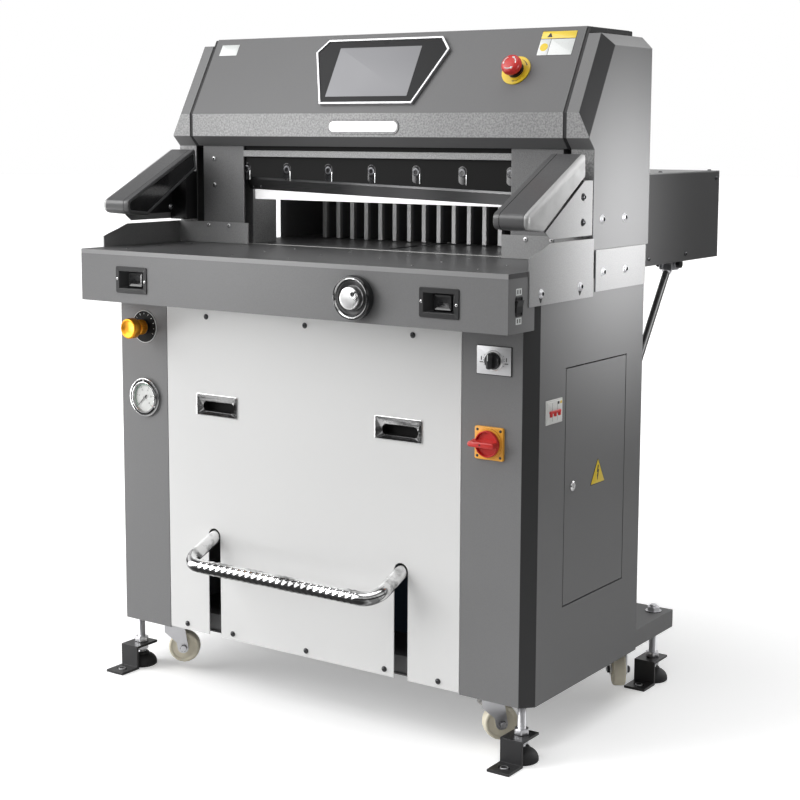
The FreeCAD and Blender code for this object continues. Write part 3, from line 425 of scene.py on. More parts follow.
def pull_plate(name):
    """Hazy nickel plate over a pressing: streaked light and dark where it looks level or down, partly uneven
    plate and partly painted reflection, and painted dark as shade where it looks up.
    """
    s = Shader(name, (0.4, 0.4, 0.4), 0.2, 1.0)
    streak = s.noise(34.0, 4.0, (0.35, 1, 2.2))
    haze = s.noise(200.0, 3.0)
    # painted light: streaks partly painted reflection, and a painted dark tone where the surface looks up
    light = s.colour(streak, (0.14, 0.14, 0.142), (0.60, 0.60, 0.60), 0.40, 0.60)
    s.paint(s.mix(s.facing((0, 0, 1), 0.15, 0.4), light, (0.07, 0.07, 0.071)))
    return s.done(haze, 0.12, 0.28, streak, 0.0002)


def dial_black(name):
    """Matt black ink on a scale plate."""
    s = Shader(name, (0.010, 0.010, 0.010), 0.7, Specular_IOR_Level=0.15)
    speckle = s.noise(700.0, 2.0)
    s.paint(s.colour(speckle, (0.008, 0.008, 0.008), (0.014, 0.014, 0.014)))
    return s.done(speckle, 0.6, 0.8)


def glass_front(name):
    """The dark printed border of the touch screen, under an anti-glare coat."""
    s = Shader(name, (0.016, 0.016, 0.017), 0.3, Specular_IOR_Level=0.12)
    smear = s.noise(14.0, 3.0)
    s.paint(s.colour(smear, (0.016, 0.016, 0.017), (0.021, 0.021, 0.022)))
    return s.done(smear, 0.26, 0.36)


def display(name):
    """The screen itself, switched on and blank: pale grey, with its own faint light."""
    s = Shader(name, (0.20, 0.20, 0.21), 0.35, Specular_IOR_Level=0.12, Emission_Strength=0.12)
    cloud = s.noise(6.0, 1.0)
    s.paint(s.colour(cloud, (0.19, 0.19, 0.20), (0.22, 0.22, 0.23)))
    s.set("Emission Color", (0.9, 0.9, 0.93, 1))
    return s.material


def lamp_lens(name):
    """A frosted lens, lit from behind."""
    s = Shader(name, (0.9, 0.9, 0.9), 0.35, Emission_Strength=0.7, Emission_Color=(1, 1, 1, 1))
    frost = s.noise(500.0, 2.0)
    s.paint(s.colour(frost, (0.86, 0.86, 0.86), (0.92, 0.92, 0.92)))
    return s.done(frost, 0.3, 0.45)


FLOOR_BOUNCE = 0.70
SWEEP_ENDS = (1.6, 3.2)  # how far from the middle the sweep starts and stops fading


def pale_floor(name):
    """White paper sweep. It is greyer for the light it throws back than for the camera, as
    if it ended just outside the picture."""
    s = Shader(name, (0.86, 0.86, 0.86), 0.6, Specular_IOR_Level=0.25)
    cloud = s.noise(1.5, 2.0)
    seen = s.colour(cloud, (0.94, 0.94, 0.94), (0.96, 0.96, 0.96))
    path = s.node("ShaderNodeLightPath")
    s.set("Emission Color", (1, 1, 1, 1))
    s.link(s.ramp(path.outputs["Is Camera Ray"], 0.0, 0.3, 0.0, 1.0), s.bsdf.inputs["Emission Strength"])
    away = s.node("ShaderNodeVectorMath", operation="LENGTH")
    s.link(s.place, away.inputs[0])
    fade = s.ramp(away.outputs["Value"], 0.0, 1.0, *SWEEP_ENDS)
    thrown = s.colour(fade, (FLOOR_BOUNCE,) * 3, (0.02,) * 3, 0.0, 1.0)
    s.paint(s.mix(path.outputs["Is Camera Ray"], thrown, seen))
    return s.material


def gantry_coat(name):
    """The portal's powder coat, with its front strip between the uprights painted paler as a highlight."""
    s = Shader(name, (0.20, 0.20, 0.202), 0.5, Specular_IOR_Level=0.4)
    fine = s.noise(560.0, 2.0)
    between = s.ramp(s.maths("ABSOLUTE", s.axes(s.place)["X"]), 1.0, 0.0, 0.326, 0.330)
    upright = s.colour(fine, (0.15, 0.15, 0.152), (0.21, 0.21, 0.212), 0.35, 0.65)
    # painted highlight: the front strip between the uprights is paler
    strip = s.colour(fine, (0.27, 0.27, 0.272), (0.48, 0.48, 0.482), 0.35, 0.65)
    s.paint(s.mix(between, upright, strip))
    return s.done(fine, 0.43, 0.57, fine, 0.00008)


BODY_GREY = (0.185, 0.185, 0.187)
CHAMFER_SHADE = (0.036, 0.036, 0.037)
FRONT_GLINT = ((0.66, 0.66, 0.662), (0.42, 0.42, 0.422))  # the painted highlight on the coarse front faces, at the left and at the right
FINISHES = {
    "floor": (pale_floor,),
    "body_paint": (powder_coat, BODY_GREY, 620.0, 0.05, COAT_DEPTH, CHAMFER_SHADE),
    "hood_paint": (
        powder_coat, (0.150, 0.150, 0.152), 620.0, 0.05, COAT_DEPTH, CHAMFER_SHADE, FRONT_GLINT,
    ),
    "cheek_paint": (
        powder_coat, (0.19, 0.19, 0.192), 620.0, 0.05, COAT_DEPTH, CHAMFER_SHADE, FRONT_GLINT,
    ),
    # painted light: lit copies of the body's grey for the side plates and the rear lid, and a shaded copy for
    # the rear cover
    "plate_paint": (powder_coat, (0.31, 0.31, 0.312), 480.0, 0.10, 0.0001),
    "lid_paint": (powder_coat, (0.33, 0.33, 0.332), 480.0, 0.10, 0.0001),
    "rear_paint": (powder_coat, (0.088, 0.088, 0.089), 620.0, 0.08),
    "white_paint": (gloss_paint, (0.74, 0.74, 0.735), 0.38),
    "black_paint": (gloss_paint, (0.014, 0.014, 0.015), 0.35),
    "cast_table": (planed_bed,),
    "knife_steel": (ground_blade,),
    "clamp_plate": (planed_clamp,),
    "fence_steel": (fence_steel,),
    "gantry_paint": (gantry_coat,),
    "bright_steel": (brushed, (0.62, 0.62, 0.63), 0.26),
    "zinc": (brushed, (0.80, 0.80, 0.82), 0.34, (1, 1, 1), 25.0),
    "chrome": (plated, 0.80),
    "pull_plate": (pull_plate,),
    "dial_black": (dial_black,),
    "gauge_rim": (plated, 0.52, 0.12),
    "bar_chrome": (bar_chrome,),
    "aluminium": (brushed, (0.66, 0.66, 0.67), 0.4),
    "black_plastic": (moulded, (0.016, 0.016, 0.017), 0.38),
    "screen_glass": (glass_front,),
    "red_plastic": (moulded, (0.62, 0.030, 0.026), 0.32),
    "orange_plastic": (brushed, (0.95, 0.40, 0.035), 0.34, (1, 1, 1), 120.0),
    "yellow_plate": (moulded, (0.90, 0.42, 0.045), 0.42),
    "white_plastic": (moulded, (0.74, 0.74, 0.72), 0.42),
    "cream_nylon": (moulded, (0.86, 0.80, 0.64), 0.42, 500.0),
    "rubber": (rubber,),
    "guard_shell": (gloss_paint, (0.085, 0.085, 0.087), 0.36),
    "guard_plate": (brushed, (0.47, 0.47, 0.47), 0.42, (40, 1, 1), 60.0, 0.3),
    "gloss_black": (gloss_paint, (0.012, 0.012, 0.013), 0.1),
    "label_white": (gloss_paint, (0.72, 0.74, 0.73), 0.3),
    "label_yellow": (gloss_paint, (0.86, 0.62, 0.03), 0.35),
    "label_black": (gloss_paint, (0.02, 0.02, 0.02), 0.4),
    "dial_white": (gloss_paint, (0.78, 0.79, 0.77), 0.22),
    "dial_green": (gloss_paint, (0.10, 0.36, 0.20), 0.3),
    "satin_silver": (brushed, (0.90, 0.90, 0.90), 0.3, (1, 1, 1), 30.0),
    "blackened": (brushed, (0.10, 0.10, 0.105), 0.3, (1, 1, 1), 90.0),
    "display": (display,),
    "lamp": (lamp_lens,),
    "pump_metal": (powder_coat, (0.05, 0.09, 0.14), 300.0, 0.1),
}
_made = {}


def finish(name):
    """The material of that name, made the first time it is asked for."""
    if name not in _made:
        maker, *values = FINISHES[name]
        _made[name] = maker(name, *values)
    return _made[name]


# ---------------------------------------------------------------- the CAD nodes' own finishes
OWN_FINISH = {
    "side_plates": "plate_paint", "rear_cover": "rear_paint", "rear_lid": "lid_paint",
    "gantry": "gantry_paint", "knife": "knife_steel", "backgauge": "fence_steel",
    "right_cheek": "cheek_paint", "left_cheek": "cheek_paint", "clamp": "clamp_plate",
    "knife_bar": "dial_black",
}


EASED = 0.0008


def dress_nodes():
    """Gives every CAD node its material, and eases its sharp edges."""
    for name, node in NODES.items():
        slots = node.data.materials
        for index, material in enumerate(slots):
            slots[index] = finish(OWN_FINISH.get(name, material.name.split(".")[0]))
        weld = node.modifiers.new("weld", "WELD")
        weld.merge_threshold = 0.00002
        flat = node.modifiers.new("flat", "DECIMATE")
        flat.decimate_type = "DISSOLVE"
        flat.angle_limit = math.radians(0.6)
        eased = node.modifiers.new("eased", "BEVEL")
        eased.width = EASED
        eased.segments = 2
        eased.limit_method = "ANGLE"
        eased.angle_limit = math.radians(38)
        eased.harden_normals = True


# ---------------------------------------------------------------- mesh tools
class Face:
    """A flat place to build on, in millimetres: its origin, two directions in it, and its normal."""

    def __init__(self, origin, u, v):
        self.origin, self.u, self.v = Vector(origin), Vector(u).normalized(), Vector(v).normalized()
        self.n = self.u.cross(self.v)

    def point(self, a, b, height):
        return at(*(self.origin + self.u * a + self.v * b + self.n * height))


def front_face(y):
    return Face((0, y, 0), (1, 0, 0), (0, 0, 1))


def side_face(x):
    """A face on the right side; its first direction runs backwards."""
    return Face((x, 0, 0), (0, 1, 0), (0, 0, 1))


def inner_face(x):
    """A face of a right-hand piece that looks inwards, to the left."""
    return Face((x, 0, 0), (0, -1, 0), (0, 0, 1))


def top_face(z):
    return Face((0, 0, z), (1, 0, 0), (0, 1, 0))


def rear_face(y):
    return Face((0, y, 0), (-1, 0, 0), (0, 0, 1))


def rounded(corners, radii, inset=0.0, steps=6):
    """The outline with those corners, turning anticlockwise, moved inwards by inset, with round corners."""
    if isinstance(radii, (int, float)):
        radii = [radii] * len(corners)
    points = [Vector(c) for c in corners]
    count = len(points)
    moved = []
    for i in range(count):
        before = (points[i] - points[i - 1]).normalized()
        after = (points[(i + 1) % count] - points[i]).normalized()
        inward = Vector((-before.y, before.x)) + Vector((-after.y, after.x))
        inward *= inset / max(1e-6, 1 + before.dot(after))
        moved.append(points[i] + inward)
    ring = []
    for i in range(count):
        before = (moved[i] - moved[i - 1]).normalized()
        after = (moved[(i + 1) % count] - moved[i]).normalized()
        turn = math.atan2(before.x * after.y - before.y * after.x, before.dot(after))
        radius = max(0.05, radii[i] - inset) if turn > 0 else radii[i] + inset
        reach = radius * math.tan(abs(turn) / 2)
        side = Vector((-before.y, before.x)) * (1 if turn > 0 else -1)
        centre = moved[i] - before * reach + side * radius
        arm = -side * radius
        for k in range(steps + 1):
            angle = turn * k / steps
            c, s = math.cos(angle), math.sin(angle)
            ring.append(centre + Vector((arm.x * c - arm.y * s, arm.x * s + arm.y * c)))
    return ring


def rectangle(width, height, centre=(0, 0)):
    x, y = centre
    return [(x + a * width / 2, y + b * height / 2) for a, b in ((-1, -1), (1, -1), (1, 1), (-1, 1))]


def hexagon(angle):
    """How far a hexagon's edge is from its centre at that angle, for a corner radius of 1."""
    return math.cos(math.pi / 6) / math.cos(angle % (math.pi / 3) - math.pi / 6)


def knurl(count, depth):
    """A round outline with that many rounded flutes."""
    return lambda angle: 1 - depth * (0.5 + 0.5 * math.cos(count * angle)) ** 2


class Piece:
    """One visual piece, built up from stacked outlines, turned shapes and tubes."""

    def __init__(self, name, body, *finishes):
        self.name, self.body, self.finishes = name, body, finishes
        self.bm = bmesh.new()

    def skin(self, rings, slots, cap_first=True, cap_last=True):
        """Joins rings of points, each with as many, by quads. slots has one finish per gap."""
        made = [[self.bm.verts.new(p) for p in ring] for ring in rings]
        for k in range(len(made) - 1):
            low, high = made[k], made[k + 1]
            for i in range(len(low)):
                j = (i + 1) % len(low)
                quad = self.bm.faces.new((low[i], low[j], high[j], high[i]))
                quad.material_index = slots[k]
        if cap_first:
            self.bm.faces.new(reversed(made[0])).material_index = slots[0]
        if cap_last:
            self.bm.faces.new(made[-1]).material_index = slots[-1]

    def stack(self, face, corners, radii, layers):
        """An outline drawn at each layer's (inset, height, finish) and skinned, back to front."""
        rings = [
            [face.point(p.x, p.y, layer[1]) for p in rounded(corners, radii, layer[0])]
            for layer in layers
        ]
        slots = [layer[2] if len(layer) > 2 else 0 for layer in layers[1:]]
        self.skin(rings, slots)

    def plate(self, face, corners, radii, low, high, ease=0.5, slot=0):
        """A flat plate between two heights, with its front edges eased."""
        self.stack(face, corners, radii, [
            (0, low, slot), (0, high - ease, slot),
            (ease * 0.3, high - ease * 0.3, slot), (ease, high, slot),
        ])

    def dished(self, face, rings, heights, slots):
        """Outlines drawn at those heights and skinned, open behind and closed in front."""
        self.skin(
            [[face.point(p.x, p.y, h) for p in ring] for ring, h in zip(rings, heights)], slots, False, True
        )

    def turned(self, face, centre, profile, sides=48):
        """A shape turned about the face's normal. profile holds (radius, height, finish, outline)."""
        rings, slots = [], []
        for entry in profile:
            radius, height = entry[0], entry[1]
            shape = entry[3] if len(entry) > 3 else (lambda angle: 1.0)
            ring = []
            for k in range(sides):
                angle = math.tau * k / sides
                reach = max(radius, 1e-4) * shape(angle)
                ring.append(face.point(
                    centre[0] + reach * math.cos(angle), centre[1] + reach * math.sin(angle), height
                ))
            rings.append(ring)
            slots.append(entry[2] if len(entry) > 2 else 0)
        self.skin(rings, slots[1:])

    def tube(self, points, radius, sides, slot):
        """A round bar along points in millimetres."""
        path = [at(*p) for p in points]
        side = None
        rings = []
        for i, p in enumerate(path):
            ahead = path[min(i + 1, len(path) - 1)] - path[max(i - 1, 0)]
            ahead.normalize()
            if side is None:
                side = ahead.orthogonal().normalized()
            side = (side - ahead * side.dot(ahead)).normalized()
            other = ahead.cross(side)
            rings.append([
                p + (side * math.cos(a) + other * math.sin(a)) * radius * MM
                for a in (math.tau * k / sides for k in range(sides))
            ])
        self.skin(rings, [slot] * len(rings))

    def screw(self, face, centre, radius, head, slot=0, washer=0.0, dark=None, key=0.5):
        """A button-head screw with a hexagon socket key times as wide, on a washer if one is given. The
        socket's hollow takes the finish dark when one is given, as painted shade.
        """
        base = 0.0
        if washer:
            self.turned(face, centre, [
                (washer, 0, slot), (washer, 0.9, slot), (washer - 0.4, 1.2, slot), (0, 1.2, slot),
            ], 32)
            base = 1.2
        socket = radius * key
        # painted shade: the socket's hollow takes the finish dark
        hollow = slot if dark is None else dark
        self.turned(face, centre, [
            (radius * 0.96, base, slot),
            (radius, base + head * 0.25, slot),
            (radius * 0.93, base + head * 0.62, slot),
            (radius * 0.75, base + head * 0.88, slot),
            (radius * (key + 0.06), base + head, slot),
            (socket, base + head, slot, hexagon),
            (socket, base + head * 0.35, hollow, hexagon),
            (0, base + head * 0.3, hollow),
        ], 36)

    def words(self, text, size, face, centre, height, slot=0):
        """Generic numerals, such as those on a dial."""
        curve = bpy.data.curves.new("numerals", "FONT")
        curve.body, curve.size, curve.align_x, curve.align_y = text, size, "CENTER", "CENTER"
        curve.extrude = 0.05
        holder = bpy.data.objects.new("numerals", curve)
        mesh = bpy.data.meshes.new_from_object(holder)
        made = [
            self.bm.verts.new(face.point(centre[0] + v.co.x, centre[1] + v.co.y, height + v.co.z))
            for v in mesh.vertices
        ]
        for polygon in mesh.polygons:
            self.bm.faces.new([made[i] for i in polygon.vertices]).material_index = slot
        bpy.data.objects.remove(holder)
        bpy.data.curves.remove(curve)
        bpy.data.meshes.remove(mesh)

    def mirror(self):
        """Adds the same shapes on the left side."""
        whole = self.bm.verts[:] + self.bm.edges[:] + self.bm.faces[:]
        copied = bmesh.ops.duplicate(self.bm, geom=whole)["geom"]
        verts = [g for g in copied if isinstance(g, bmesh.types.BMVert)]
        faces = [g for g in copied if isinstance(g, bmesh.types.BMFace)]
        for v in verts:
            v.co.x = -v.co.x
        bmesh.ops.reverse_faces(self.bm, faces=faces)

    def done(self, slot, *replaced, angle=32.0):
        """Makes the object, smooth but for its sharp edges, and puts it on its body."""
        bmesh.ops.remove_doubles(self.bm, verts=self.bm.verts[:], dist=2e-6)
        bmesh.ops.dissolve_degenerate(self.bm, dist=1e-7, edges=self.bm.edges[:])
        mesh = bpy.data.meshes.new(self.name)
        self.bm.to_mesh(mesh)
        self.bm.free()
        for name in self.finishes:
            mesh.materials.append(finish(name))
        mesh.shade_smooth()
        mesh.set_sharp_from_angle(angle=math.radians(angle))
        made = bpy.data.objects.new(self.name, mesh)
        bpy.context.scene.collection.objects.link(made)
        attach(made, self.body)
        if replaced:
            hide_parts(*replaced)


# ---------------------------------------------------------------- hood and its controls
SLOPE = Face((0, 190, 1174), (1, 0, 0), (0, 88, 160))  # the hood's sloping front
ESTOP = (324.5, 89.8)  # on the slope


def make_screen():
    glass = Piece("screen_picture", "frame", "display")
    glass.plate(SLOPE, rectangle(199, 112.5, (-4.5, 91.75)), 0.8, 5.0, 5.25, 0.1)
    glass.done("screen_glass")


def around(centre, radius, angle):
    """The point at that angle, in radians, on a circle in a face."""
    return (centre[0] + radius * math.cos(angle), centre[1] + radius * math.sin(angle))


def make_estop():
    ring = Piece("estop_collar", "frame", "label_yellow", "label_black", "black_plastic")
    ring.turned(SLOPE, ESTOP, [
        (30, 0), (30, 1.6), (29.4, 2.2), (16.5, 2.2), (15.5, 2.2, 2), (15.0, 5.5, 2), (13, 6, 2), (0, 6, 2),
    ], 64)
    for k in range(3):
        for i in range(7):
            spot = around(ESTOP, 23.5, math.tau * k / 3 + 0.5 + i * 0.12)
            ring.turned(SLOPE, spot, [(1.4 - 0.12 * i, 2.1, 1), (1.2 - 0.12 * i, 2.5, 1), (0, 2.5, 1)], 12)
    ring.done("yellow_plate")
    head = Piece("estop_head", "stop_button", "red_plastic", "label_white")
    head.turned(SLOPE, ESTOP, [
        (12, 5), (12, 13), (17.5, 14), (19.4, 15.5), (20, 18), (20, 21.5), (19.3, 25), (17.3, 28),
        (14, 29.6), (9, 30.3), (0, 30.5),
    ], 56)
    for k in range(3):
        for i in range(9):
            spot = around(ESTOP, 12.5, math.tau * k / 3 + i * 0.15)
            width = 0.9 if i < 7 else 1.9 - 0.8 * (i - 7)
            head.turned(SLOPE, spot, [(width + 0.4, 29.4, 1), (width, 30.35, 1), (0, 30.4, 1)], 10)
    head.done("red_plastic", "estop_button")


def make_hood_labels():
    pale = Piece("rating_label", "frame", "label_white")
    pale.plate(SLOPE, rectangle(48, 26, (-408, 155)), 0.6, 0, 0.35, 0.1)
    pale.done("aluminium")
    caution = Piece("caution_label", "frame", "label_yellow", "label_white", "label_black")
    caution.plate(SLOPE, rectangle(75, 53, (395.5, 147.5)), 1.5, 0, 0.3, 0.1, 2)
    for width, tall, x, y, slot in (
        (73.4, 15.5, 395.5, 165.4, 0), (22, 34.5, 369.8, 139.0, 1), (50.5, 34.5, 407.0, 139.0, 1),
    ):
        caution.plate(SLOPE, rectangle(width, tall, (x, y)), 0.8, 0.25, 0.45, 0.1, slot)
    caution.turned(SLOPE, (369.8, 139.0), [(8.5, 0.4, 0), (8.3, 0.6, 0), (0, 0.6, 0)], 32)
    caution.plate(SLOPE, [(370.5, 160.2), (382.5, 160.2), (376.5, 170.6)], 0.8, 0.4, 0.6, 0.1, 2)
    caution.done("yellow_plate")


LAMP = (-0.75, 1147.5)


def make_lamp():
    band = front_face(190)
    lamp = Piece("throat_lamp", "frame", "hood_paint", "lamp", "blackened")
    lamp.stack(band, rectangle(175, 30, LAMP), 15, [(0, 0), (0, 0.8), (0.6, 1.3), (3.6, 1.3), (4.2, 0.4, 2)])
    lamp.stack(band, rectangle(166, 21, LAMP), 10.4, [(0, 0.4, 1), (0, 1.4, 1), (0.8, 2.2, 1), (2.5, 2.6, 1)])
    lamp.done("hood_paint")


def make_gaskets():
    """The black seals that fill the joints between the hood and its cheeks."""
    seal = Piece("hood_seals", "frame", "rubber")
    outline = [(210, 1107), (449, 1060), (449, 1332), (279, 1332), (191.5, 1173.5), (191.5, 1127.5)]
    seal.stack(side_face(450.4), outline, 3, [(-0.4, 0), (-0.4, 6.2)])
    seal.mirror()
    seal.done("rubber")


# ---------------------------------------------------------------- columns and front
def make_panel_screws():
    face = front_face(0)
    screws = Piece("panel_screws", "frame", "blackened", "label_black")
    upper, lower = [(x, 769) for x in (-250, 0, 250)], [(x, 125) for x in (-310, -188, 0, 188, 310)]
    for x, z in upper + lower:
        screws.screw(face, (x, z), 4.2, 2.6, 0, 5.6, 1)
    screws.done("zinc")


def make_pulls():
    pulls = Piece("flush_pulls", "frame", "chrome", "pull_plate", "dial_black")
    face = front_face(0)
    width, tall, middle = 107.0, 45.0, 590.5
    for x in (-223.5, 219.0):
        outer = rectangle(width, tall, (x, middle))
        mouth = rectangle(80, 20, (x - 1, middle - 4))
        rings = [
            *(rounded(outer, 3, inset) for inset in (0, 0, 0.7, 1.7, 2.2)),
            *(rounded(mouth, 8, inset) for inset in (-1.6, 0, 0.3)),
        ]
        heights = [0, 1.4, 2.0, 2.0, 1.4, -4.4, -5.6, -22.0]
        pulls.dished(face, rings, heights, [0, 0, 0, 0, 1, 1, 2])
    pulls.done("chrome", "panel_pulls", angle=50)


def clock_face(spot, angle):
    """The columns' front as a face whose second direction is at that angle, in degrees, from up."""
    a = math.radians(angle)
    u = Vector((math.sin(a), 0, math.cos(a)))
    return Face((spot[0], 0, spot[1]), (u.z, 0, -u.x), u)


def make_throttle():
    face = front_face(0)
    spot = (-418, 737.5)
    dial = Piece("throttle_scale", "frame", "dial_black", "label_white")
    dial.turned(face, spot, [
        (33.5, 0, 1), (33.5, 0.9, 1), (33.1, 1.3, 1), (32.2, 1.3, 1), (32, 1.5, 0), (0, 1.5, 0),
    ], 72)
    for k in range(11):
        length = 4.0 if k % 2 == 0 else 2.4
        dial.plate(clock_face(spot, -120 + 24 * k), rectangle(1.1, length, (0, 27)), 0.1, 1.4, 1.7, 0.05, 1)
    dial.done("black_plastic")
    knob = Piece("throttle_turn_knob", "throttle", "orange_plastic", "gloss_black")
    knob.turned(face, spot, [
        (15.5, 2, 1), (15.5, 6, 1), (14.5, 6.5, 1), (14.5, 8), (15.6, 8.6), (15.8, 9.5, 0, knurl(24, 0.1)),
        (15.8, 22, 0, knurl(24, 0.1)), (15.0, 23), (12.5, 24.5), (12.2, 30), (17, 31.2), (20.0, 32.2),
        (21, 33.6), (21, 46.5), (20.6, 48.4), (19.4, 49.6), (17.6, 50), (16.8, 49.5), (0, 49.3),
    ], 96)
    knob.done("orange_plastic", "throttle_knob", angle=40)


def make_gauge():
    face = front_face(0)
    spot = (-419, 590)
    case = Piece("gauge_flange", "frame", "gauge_rim", "gloss_black", "dial_white")
    case.turned(face, spot, [
        (40.5, 0), (40.5, 3.6), (39.9, 4.6), (38.8, 5.0), (36.6, 5.0), (36.0, 4.2, 1), (33.4, 4.2, 1),
        (32.8, 5.0), (32.4, 6.4), (31.2, 7.0), (30.0, 6.8), (29.2, 5.6), (28.8, 1.6),
        (28.6, 1.2, 2), (0, 1.2, 2),
    ], 96)
    for k in range(3):
        centre = around(spot, 34.8, math.radians(90 + 120 * k))
        case.plate(face, rectangle(5, 5, centre), 1, 3, 5.0, 0.3, 0)
        case.screw(face, centre, 1.9, 1.2, 0)
        for v in case.bm.verts[-36 * 8:]:
            v.co.y -= 5.0 * MM
    case.done("chrome", "gauge_case", angle=40)
    dial = Piece("gauge_scale", "frame", "label_black", "dial_green", "red_plastic")
    for k in range(41):
        mark = clock_face(spot, -135 + 270 * k / 40)
        big = k % 8 == 0
        line = rectangle(0.7, 4.2, (0, 23.2)) if big else rectangle(0.35, 2.2, (0, 24.2))
        dial.plate(mark, line, 0.05, 1.15, 1.4, 0.02, 0)
        if big:
            centre = (spot[0] + 16.5 * mark.v.x, spot[1] + 16.5 * mark.v.z)
            dial.words(str(k // 8 * 5), 4.6, face, centre, 1.25)
        if k < 40:
            dial.plate(mark, rectangle(3.1, 1.3, (1.4, 26.6)), 0.05, 1.15, 1.32, 0.02, 1 if k < 32 else 2)
    dial.done("white_plastic")
    needle = Piece("gauge_pointer", "needle", "label_black", "chrome")
    taper = [(-1.1, -7), (1.1, -7), (0.35, 21), (-0.35, 21)]
    needle.plate(clock_face(spot, -135), taper, 0.2, 2.4, 3.0, 0.1)
    needle.turned(face, spot, [(2.6, 1.8, 0), (2.6, 3.6, 0), (2.2, 4.0, 1), (0, 4.2, 1)], 24)
    needle.done("black_paint", "gauge_needle")


def make_selector():
    face = front_face(0)
    plate = Piece("selector_face", "frame", "aluminium", "label_black", "satin_silver")
    middle = (424.7, 736.5)
    plate.plate(face, rectangle(73.4, 53, middle), 1.5, 0, 1.5, 0.3, 1)
    plate.plate(face, rectangle(70.6, 50.2, middle), 1.0, 1.4, 2.0, 0.2, 0)
    plate.turned(face, middle, [
        (18.5, 1.9, 2), (18.5, 4.0, 2), (17.6, 5.0, 2), (15.6, 5.0, 2), (15.2, 4.0, 1), (0, 4.0, 1),
    ], 64)
    for side in (-1, 1):
        x = middle[0] + side * 26
        plate.plate(face, rectangle(1.6, 7, (x, middle[1] + 3)), 0.3, 1.9, 2.2, 0.05, 1)
        plate.plate(face, rectangle(7, 1.6, (x, middle[1] - 4)), 0.3, 1.9, 2.2, 0.05, 1)
        for k in range(-2, 3):
            dot = around(middle, 21.5, math.radians((0 if side > 0 else 180) + 12 * k))
            plate.turned(face, dot, [(0.7, 1.9, 1), (0.6, 2.15, 1), (0, 2.15, 1)], 8)
    plate.done("aluminium", "selector_plate")
    knob = Piece("selector_turn_knob", "selector", "black_plastic", "label_white")
    knob.turned(face, middle, [(14.4, 4.4), (14.6, 6), (14.0, 12), (13.2, 13.2), (0, 13.4)], 64)
    knob.stack(face, rectangle(9.5, 28, middle), 4.5, [(0, 10), (0.3, 21), (1.0, 23.2), (2.4, 24)])
    knob.plate(face, rectangle(1.8, 11, (middle[0], middle[1] + 7)), 0.4, 23.8, 24.15, 0.1, 1)
    knob.done("black_plastic", "selector_knob")


def make_main_switch():
    face = front_face(0)
    middle = (417.5, 587)
    plate = Piece("main_switch_face", "frame", "yellow_plate", "blackened", "label_black")
    plate.stack(face, rectangle(60, 60, middle), 3.5, [(0, 0), (0, 3.4), (0.4, 4.2), (1.2, 4.6)])
    plate.turned(face, middle, [(27.5, 4.5), (27.5, 6.6), (26.8, 7.4), (0, 7.4)], 64)
    for sx in (-1, 1):
        for sz in (-1, 1):
            spot = (middle[0] + 24 * sx, middle[1] + 24 * sz)
            plate.turned(face, spot, [(2.8, 4.55, 2), (2.4, 4.75, 2), (0, 4.75, 2)], 20)
    plate.done("yellow_plate", "main_switch_plate")
    knob = Piece("main_switch_handle", "main_switch", "red_plastic", "label_black")
    knob.turned(face, middle, [
        (23, 7.6), (24.2, 8.4), (24.2, 13.5), (23.6, 14.6), (22.3, 14.8), (21.4, 14.0),
        (20.8, 10.6), (0, 10.2),
    ], 72)
    knob.stack(face, rectangle(56, 11, (middle[0] - 4, middle[1])), 5.4, [
        (-1.5, 10), (0, 16), (0.3, 25.5), (1.0, 27.2), (2.4, 28),
    ])
    knob.turned(face, (middle[0] - 5, middle[1]), [(1.9, 27.9, 1), (1.8, 28.1, 1), (0, 28.1, 1)], 20)
    knob.done("red_plastic", "main_switch_knob")


def make_cut_buttons():
    face = front_face(-90)
    cups = Piece("cut_button_cups", "frame", "black_plastic", "satin_silver", "label_black")
    for x in (-366, 366):
        middle = (x, 842.5)
        outer, inner = rectangle(83, 53, middle), rectangle(40, 32, middle)
        rings = [
            *(rounded(outer, 3.5, inset) for inset in (0, 0, 0.6, 8.6, 9.4)),
            rounded(inner, 2.5), rounded(inner, 2.5),
        ]
        heights = [0, 1.5, 2.0, 2.0, 1.4, -13.0, -30.0]
        cups.dished(face, rings, heights, [0] * 6)
        for side in (-1, 1):
            spot = (x + 36.8 * side, 842.5 - 1.5 * side)
            cups.screw(front_face(-92), spot, 2.7, 1.3, 1, 0, 2)
    cups.done("black_plastic", "cut_button_housings")
    for name, body, x in (("left", "left_button", -366), ("right", "right_button", 366)):
        push = Piece(name + "_cut_push", body, "black_plastic", "gloss_black")
        push.stack(face, rectangle(37, 29, (x, 842.5)), 2.5, [
            (0, -22), (0, -12.5), (0.5, -11.3), (1.6, -10.8), (3.2, -11.2, 1), (6, -11.9, 1),
        ])
        push.done("black_plastic", name + "_cut_button")


